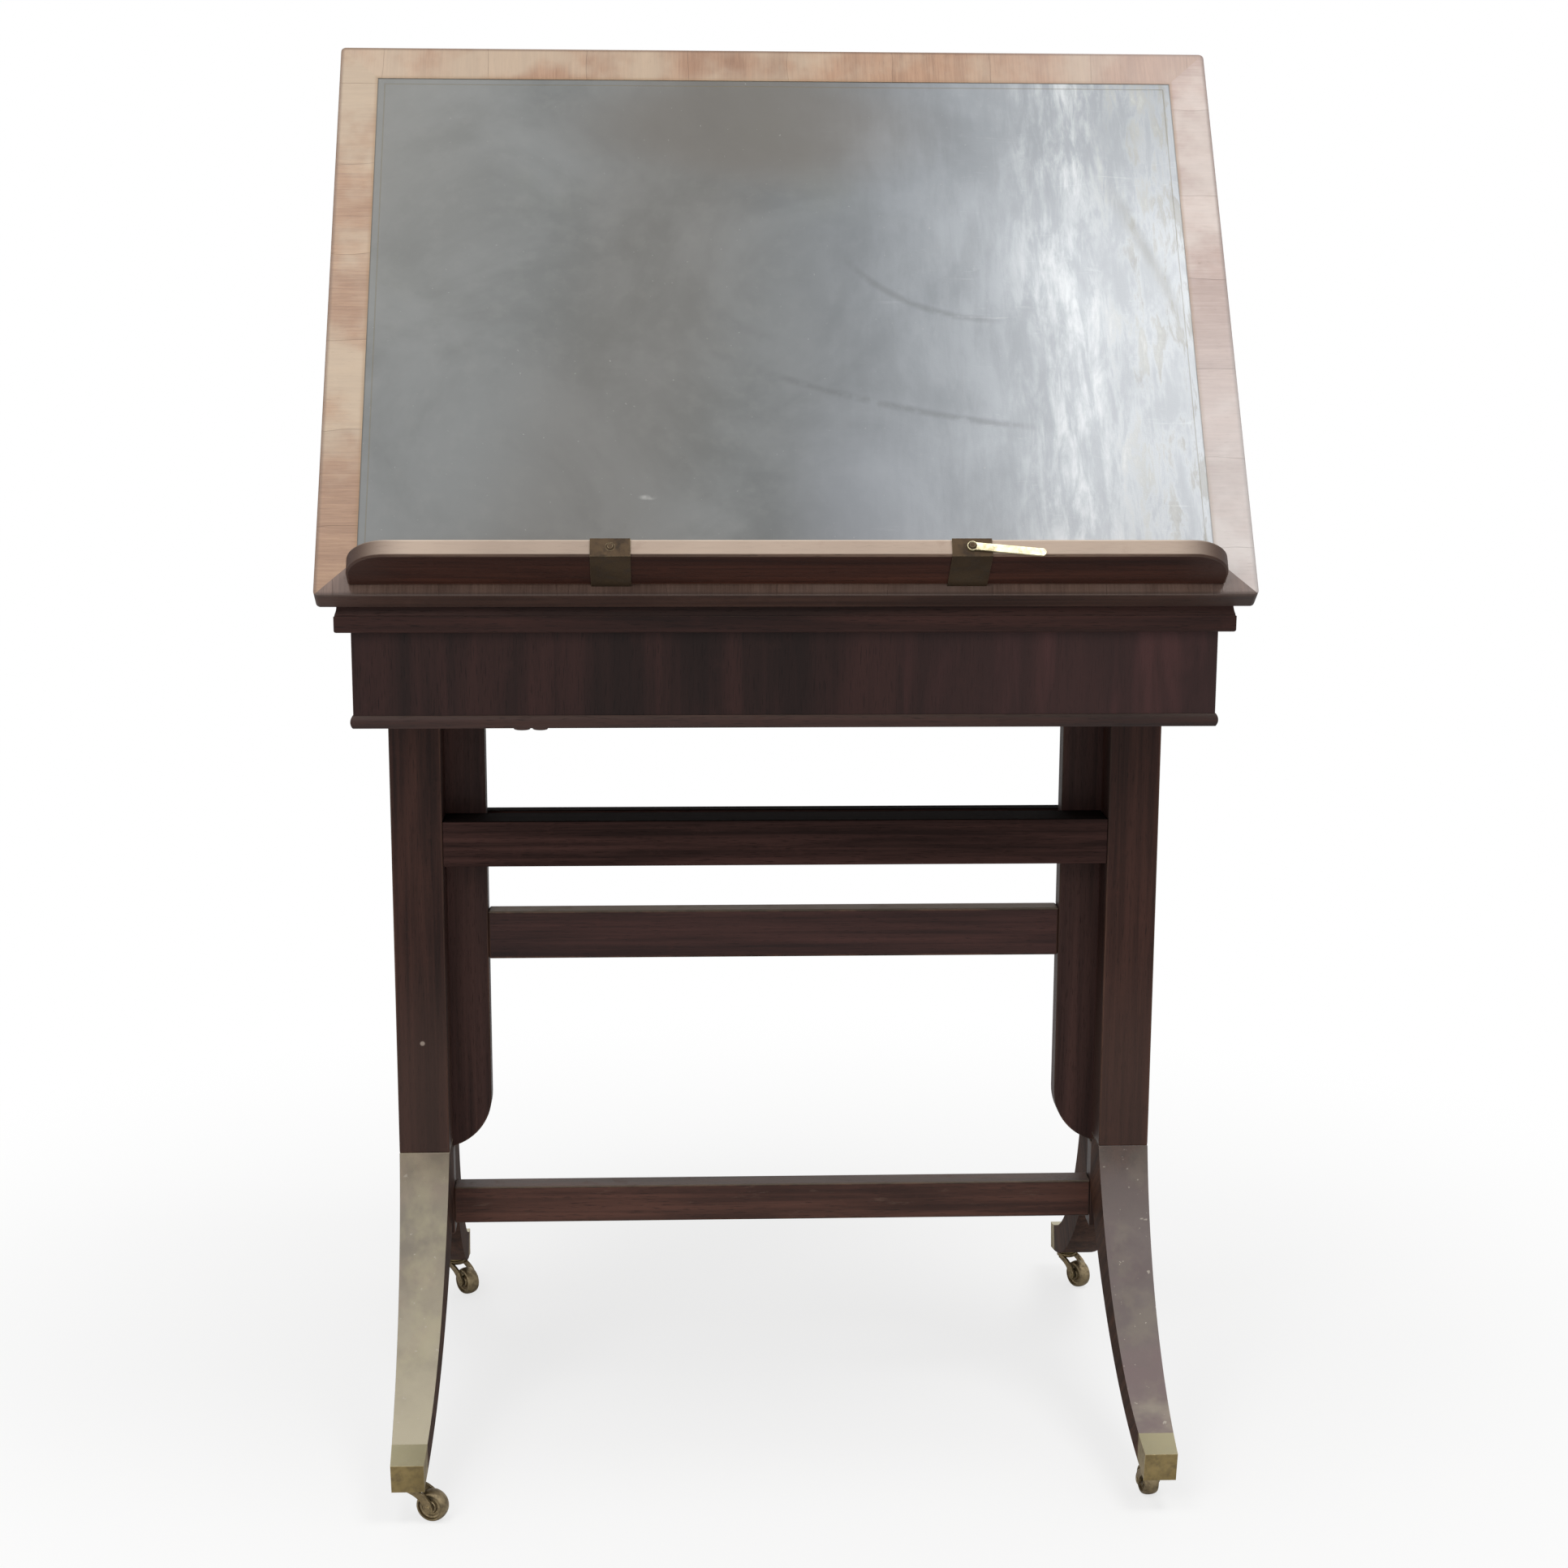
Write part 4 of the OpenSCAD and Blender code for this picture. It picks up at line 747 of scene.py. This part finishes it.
# Leather: one hide, dyed dark and pasted inside the border, cut in along a knife line and tooled with one blind
# line. Its middle is rubbed dull and brown, arcs are scratched into it, and its right side is glossy in streaks
# and creased once. The glare, glints and pale licks on the right side are painted highlights, a sheen low in the
# middle is painted, and the crease is painted dark as shade.
LEATHER_W, LEATHER_D = TOP_W - 2 * BORDER_W, TOP_D - 2 * BORDER_W
leather_finish = Finish("rubbed_grey_leather", Specular_IOR_Level=0.4, Coat_Roughness=0.2)
f = leather_finish
at = f.uv()
u, v = f.axis(0, at), f.axis(1, at)
# The dye: a mottled grey with olive, cool and warm casts. It is rubbed brown at the top and left of the middle,
# and a painted sheen lightens it low down, right of the middle.
mottle = f.noise(at, 7.0, 5.0, 0.6, 0.5)
fine = f.noise(at, 60.0, 4.0, 0.6)
hide = f.mix(mottle.ramp(0.34, 0.66), (0.108, 0.113, 0.110), (0.160, 0.166, 0.164))
hide = f.mix(fine.ramp(0.45, 0.75) * 0.25, hide, (0.195, 0.198, 0.190))
olive = f.noise(at, 3.6, 4.0, 0.6, 0.3).ramp(0.50, 0.66) * v.ramp(0.18, 0.40)
hide = f.mix(olive * 0.45, hide, (0.150, 0.158, 0.128))
cool = u.ramp(-0.08, 0.12)
hide = f.mix(cool * 0.5, hide, (0.128, 0.146, 0.170))
rubbed_top = 1.0 - ((((u + 0.02) / 0.17) ** 2.0 + ((v - 0.405) / 0.075) ** 2.0) ** 0.5).ramp(0.4, 1.15)
rubbed_low = (1.0 - (u + 0.135 - v * 0.22 + mottle * 0.05).size().ramp(0.02, 0.11)) * 0.5
hide = f.mix(rubbed_top.most(rubbed_low) * 0.8, hide, (0.106, 0.095, 0.082))
warm = (1.0 - u.ramp(-0.34, -0.16)) * v.ramp(0.1, 0.4)
hide = f.mix(warm * 0.5, hide, (0.212, 0.208, 0.192))
# A painted sheen, low down right of the middle.
low_sheen = u.ramp(-0.02, 0.06) * (1.0 - u.ramp(0.08, 0.17)) * (1.0 - v.ramp(0.05, 0.17))
hide = f.mix(low_sheen * 0.5, hide, (0.235, 0.250, 0.275))
pebble = f.add("ShaderNodeTexVoronoi", {"feature": "F1"}, {"Vector": at, "Scale": 1050.0}, out=0)
# The glossy right side: streaked glare painted into the colour, dull dry patches at its edge, a band of bright
# glints and thin licks, both painted highlights, and one crease, painted dark as shade.
streaks = f.noise(f.stretch((90.0, 17.0, 1.0), at), 1.0, 6.0, 0.68, 0.35)
patches = f.noise(f.stretch((15.0, 9.0, 1.0), at), 1.0, 5.0, 0.62, 0.4)
glare = (u + 0.07 * mottle + 0.05 * patches).ramp(0.05, 0.31) * (1.0 - 0.4 * v.ramp(0.27, 0.42))
gloss_and_glare = glare * (0.72 + 0.28 * (streaks * 0.5 + patches * 0.5).ramp(0.38, 0.60))
# The streaked glare is painted into the colour: painted glare.
hide = f.mix(gloss_and_glare * 0.63, hide, (0.50, 0.535, 0.575))
rough_side = (u + 0.05 * patches).ramp(0.265, 0.315)
dry = (streaks * 0.7 + patches * 0.3).ramp(0.50, 0.57) * rough_side
hide = f.mix(dry * 0.75, hide, (0.20, 0.195, 0.170))
glints = streaks.ramp(0.40, 0.68) * (1.0 - (u - 0.252).size().ramp(0.03, 0.09)) * patches.ramp(0.30, 0.70)
# Bright glints: painted highlights.
hide = f.mix(glints * 0.50, hide, (0.78, 0.80, 0.79))
highlight_licks = f.noise(f.stretch((16.0, 120.0, 1.0), at), 1.0, 5.0, 0.7, 0.8).ramp(0.60, 0.76) * glare
# Thin pale licks: painted highlights in the glare.
hide = f.mix(highlight_licks * 0.22, hide, (0.72, 0.74, 0.76))
fold_line = (u - 0.272) * 0.928 + (v - 0.330) * 0.371 + (patches - 0.5) * 0.035
crease_and_shade = (1.0 - fold_line.size().ramp(0.0005, 0.0105)) * v.ramp(0.18, 0.25) * (1.0 - v.ramp(0.30, 0.37))
# The crease is painted dark: painted shade.
hide = f.mix(crease_and_shade * 0.5, hide, (0.17, 0.17, 0.15))


def scratched(middle, radius, start, stop, width):
    """A soft arc: near a circle in distance, and between two places of u."""
    near = 1.0 - (f.away(middle, at) - radius).size().ramp(0.0003, width)
    return near * u.ramp(start, start + 0.03) * (1.0 - u.ramp(stop - 0.05, stop)) * fine.ramp(0.30, 0.55)


scratches = scratched((0.1692, 0.3688, 0.0), 0.152, 0.042, 0.19, 0.0050)
scratches = scratches.most(scratched((0.2845, 0.9551, 0.0), 0.8429, -0.02, 0.21, 0.0050))
scratches = scratches.most(scratched((0.0818, 0.4318, 0.0), 0.25, -0.07, 0.02, 0.0090) * 0.7)
hide = f.mix(scratches * 0.36, hide, (0.075, 0.078, 0.080))
# Pale specks, and one scuff near the foot.
specks = f.noise(at, 330.0, 2.0, 0.5).ramp(0.72, 0.77)
scuff = 1.0 - f.away((-0.0371, 0.054, 0.0), f.stretch((0.35, 1.0, 1.0), at)).ramp(0.0006, 0.0032)
scuff = (scuff * fine.ramp(0.35, 0.6)).most(specks * 0.5)
hide = f.mix(scuff * 0.6, hide, (0.42, 0.42, 0.40))
# The knife line at the rim, and the blind line tooled inside it.
rim = (LEATHER_W / 2 - u.size()).least(v.least(LEATHER_D - v))
knife = 1.0 - rim.ramp(0.0003, 0.0012)
hide = f.mix(knife * 0.6, hide, (0.07, 0.060, 0.042))
tooled = 1.0 - (rim - 0.0058).size().ramp(0.0002, 0.0006)
hide = f.mix(tooled * 0.45, hide, (0.150, 0.120, 0.060))
lines = scratches * 0.5 + tooled * 1.2 + crease_and_shade
relief = f.bump(pebble * 0.18 + mottle * 0.9 + patches * glare - lines, 0.0004, 0.45)
f.wear(Base_Color=hide, Roughness=0.56 - 0.10 * mottle - 0.20 * gloss_and_glare + 0.05 * pebble,
       Coat_Weight=gloss_and_glare * (0.55 - 0.3 * dry) + 0.04, Normal=relief)

# The hide's face lies a little below the border's, dips along the knife line and is
# faintly uneven, by the product of two sines.
HIDE_LOW, DIP, DIP_REACH, UNEVEN = 0.0002, 0.00025, 0.0015, 0.00008
share_x, share_y = np.linspace(-0.5, 0.5, 109)[:, None], np.linspace(0.0, 1.0, 76)[None, :]
across, up = np.broadcast_arrays(share_x * LEATHER_W, share_y * LEATHER_D)
from_rim = np.minimum(LEATHER_W / 2 - np.abs(across), np.minimum(up, LEATHER_D - up))
face = TOP_T - HIDE_LOW - DIP * np.exp(-from_rim / DIP_REACH)
face = face + UNEVEN * np.sin(31.0 * across + 12.0 * up) * np.sin(27.0 * up - 9.0 * across)
upper, lower = (on_top(across, up + BORDER_W, out) for out in (face, TOP_T - BORDER_T))
leather = slab("leather_hide", upper, lower, leather_finish, np.stack([across, up], -1))
linked("leather_hide", leather, "leather_skin", "leather", "leather_skin")

# Book ledge: a bar of dark mahogany with rounded upper ends, fixed across the foot of the slope to stop a book.
# Hands have rubbed its upper edge pale, and a painted highlight lightens its top; its ends are painted dark, as
# painted shade.
ledge_finish = mahogany("polished_mahogany_ledge", 0, (0.018, 0.0062, 0.0042), (0.058, 0.0195, 0.0120),
                        turn=(-SLOPE, 0.0, 0.0), bloom_and_sheen=(0.60, 0.475, 0.380), haze=1.1, shine=0.12)
ledge_arris = mahogany("rubbed_mahogany_ledge_arris", 0, (0.055, 0.030, 0.021), (0.21, 0.135, 0.095),
                       turn=(-SLOPE, 0.0, 0.0), bloom_and_sheen=(0.62, 0.50, 0.40), haze=0.9)
# Both ends of the ledge are painted dark: painted shade.
for finish in (ledge_finish, ledge_arris):
    finish.mark(finish.axis(0).size().ramp(0.282, 0.324) * 0.8, (0.040, 0.017, 0.012))
worn("book_ledge", 0.0018, ledge_finish, ledge_arris, turns=3)

# Ledge plates: two strips of rolled brass bent over the ledge and riveted, nearly
# black with tarnish on the front and rubbed on top.
plate_finish = tarnished("dark_brass_plate", (0.090, 0.062, 0.038), (0.060, 0.041, 0.026),
                         (0.032, 0.021, 0.014), 0.52, grain=120.0)
plate_rub = tarnished("rubbed_plate_arris", (0.26, 0.21, 0.125), (0.13, 0.10, 0.06), (0.04, 0.03, 0.018),
                      0.34)
worn("ledge_plates", 0.0003, plate_finish, plate_rub)

# Page arm: a flat brass finger that swings on the right plate's rivet to hold a
# page. Use keeps it the brightest metal on the table.
arm_finish = tarnished("rubbed_brass_arm", (0.74, 0.68, 0.47), (0.54, 0.48, 0.30), (0.24, 0.19, 0.10), 0.28,
                       spotting=0.5)
worn("page_arm", 0.0003, arm_finish)

# Strut brackets: a brass plate with two ears under the top for each strut arm,
# held by four screws.
worn("strut_brackets", 0.0003, hinge_finish, rubbed_brass)
PIN_DROP, BRACKET_T, STRUT_X = 0.0085, 0.002, 0.130
SCREW_SIDE, SCREW_UP, SCREW_R, SCREW_RISE = 0.0078, 0.0095, 0.0022, 0.0005
bracket_seat = np.array(JOINT["strut_fold"]["pos_m"]) + (PIN_DROP - BRACKET_T) * OUT_OF_TOP
for side in (-1, 1):
    for up in (-SCREW_UP, SCREW_UP):
        for x in (-SCREW_SIDE, SCREW_SIDE):
            spot = bracket_seat + (side * STRUT_X + x) * RIGHTWARD + up * UP_SLOPE
            lean = 70.0 * x + 130.0 * up + side
            way = cos(lean) * RIGHTWARD + sin(lean) * UP_SLOPE
            head = screw_head("bracket_screw", spot, -OUT_OF_TOP, way, SCREW_R, SCREW_RISE, hinge_finish)
            linked("bracket_screw", head, "strut_brackets", "brass")

# Prop strut: two arms of plain wood joined by a flat rail and a round foot bar,
# which drops into the racks. Its edges are eased and handled smooth.
strut_finish = mahogany("plain_wood_strut", 2, (0.085, 0.040, 0.021), (0.19, 0.095, 0.050), gloss=0.5,
                        turn=(-SLOPE, 0.0, 0.0))
cross_finish = mahogany("plain_wood_strut_rail", 0, (0.075, 0.036, 0.020), (0.17, 0.085, 0.046), gloss=0.5)
for node in ("strut_arm_left", "strut_arm_right"):
    worn(node, 0.0010, strut_finish)
for node in ("strut_cross_rail", "strut_foot_bar"):
    worn(node, 0.0008, cross_finish)

# Studio: a pale floor that fades to white, an even pale room, and soft lamps. Two
# hang overhead, a stronger one on the right, and one stands in front on the left.


class Room(Finish):
    """The light of the room all round, whose nodes are written like a finish's."""

    def __init__(self, name):
        self.world = bpy.data.worlds.new(name)
        self.world.use_nodes = True
        self.tree = self.world.node_tree
        self.shader = next(n for n in self.tree.nodes if n.type == "BACKGROUND")

    def ray(self, kind):
        return self.add("ShaderNodeLightPath", {}, {}, out="Is %s Ray" % kind)


room = Room("room")
room.shader.inputs["Color"].default_value = (1.0, 1.0, 1.0, 1.0)
seen = room.ray("Camera").most(room.ray("Glossy")).most(room.ray("Transmission"))
room.wear(Strength=0.55 + 0.45 * seen)
bpy.context.scene.world = room.world

floor_finish = Finish("pale_floor", Roughness=0.9, Specular_IOR_Level=0.1, Base_Color=(0.86, 0.86, 0.85, 1.0))
distance = floor_finish.away((0.0, 0.0, 0.0))
plain_white = floor_finish.add("ShaderNodeEmission", {}, {"Color": (1.0, 1.0, 1.0, 1.0), "Strength": 1.0})
camera_ray = floor_finish.add("ShaderNodeLightPath", {}, {}, out=0)
lit = Link(floor_finish, floor_finish.shader.outputs[0])
surface = floor_finish.add("ShaderNodeMixShader", {}, {
    0: (0.7 + 0.3 * distance.ramp(0.30, 1.3)) * camera_ray, 1: lit, 2: plain_white})
end = next(n for n in floor_finish.tree.nodes if n.type == "OUTPUT_MATERIAL")
floor_finish.tree.links.new(surface.socket, end.inputs["Surface"])
FLOOR_HALF = 9.0
corners = FLOOR_HALF * np.array([(-1.0, -1.0, 0.0), (1.0, -1.0, 0.0), (1.0, 1.0, 0.0), (-1.0, 1.0, 0.0)])
floor_mesh = bpy.data.meshes.new("floor")
floor_mesh.from_pydata(corners.tolist(), [], [(0, 1, 2, 3)])
floor_mesh.materials.append(floor_finish.material)
floor = bpy.data.objects.new("floor", floor_mesh)
bpy.context.scene.collection.objects.link(floor)


def soft_lamp(name, place, aim, size, watts):
    """A round lamp, size metres across, that shines from a place towards another."""
    lamp = bpy.data.lights.new(name, "AREA")
    lamp.shape = "DISK"
    lamp.size = size
    lamp.energy = watts
    holder = bpy.data.objects.new(name, lamp)
    holder.location = place
    holder.rotation_euler = (Vector(aim) - Vector(place)).to_track_quat("-Z", "Y").to_euler()
    bpy.context.scene.collection.objects.link(holder)


soft_lamp("right_overhead_lamp", (1.0, -0.82, 3.0), (0.1, -0.1, 0.8), 1.0, 24.0)
soft_lamp("left_overhead_lamp", (-0.8, -0.82, 3.0), (-0.1, -0.1, 0.5), 1.0, 14.0)
soft_lamp("front_lamp", (-1.6, -2.6, 2.2), (0.0, 0.0, 0.6), 1.6, 26.0)

# Camera: where the photograph was taken from, worked out from the table's edges.
# The lens and the middle of its picture are in the photograph's pixels.
EYE_LEFT, EYE_BEFORE_HINGES, EYE_HEIGHT = 0.0956, 2.0858, 0.9936
FRAME_PX, LENS_PX, MIDDLE_PX = 1932.0, 3395.9, (978.3, 1068.0)
eye = Vector((-EYE_LEFT, tilt_axis[1] - EYE_BEFORE_HINGES, EYE_HEIGHT))
turned_right, dip, roll = radians(2.765), radians(12.428), radians(0.275)
forward = Vector((sin(turned_right) * cos(dip), cos(turned_right) * cos(dip), -sin(dip)))
right = Vector((cos(turned_right), -sin(turned_right), 0.0))
up = right.cross(forward)
right, up = cos(roll) * right + sin(roll) * up, -sin(roll) * right + cos(roll) * up
camera_data = bpy.data.cameras.new("camera")
camera_data.sensor_width = 36.0
camera_data.lens = LENS_PX / FRAME_PX * camera_data.sensor_width
camera_data.shift_x = 0.5 - MIDDLE_PX[0] / FRAME_PX
camera_data.shift_y = MIDDLE_PX[1] / FRAME_PX - 0.5
camera = bpy.data.objects.new("camera", camera_data)
camera.matrix_world = Matrix((
    (right.x, up.x, -forward.x, eye.x),
    (right.y, up.y, -forward.y, eye.y),
    (right.z, up.z, -forward.z, eye.z),
    (0.0, 0.0, 0.0, 1.0)))
bpy.context.scene.collection.objects.link(camera)
bpy.context.scene.camera = camera
bpy.context.scene.view_settings.view_transform = "Standard"
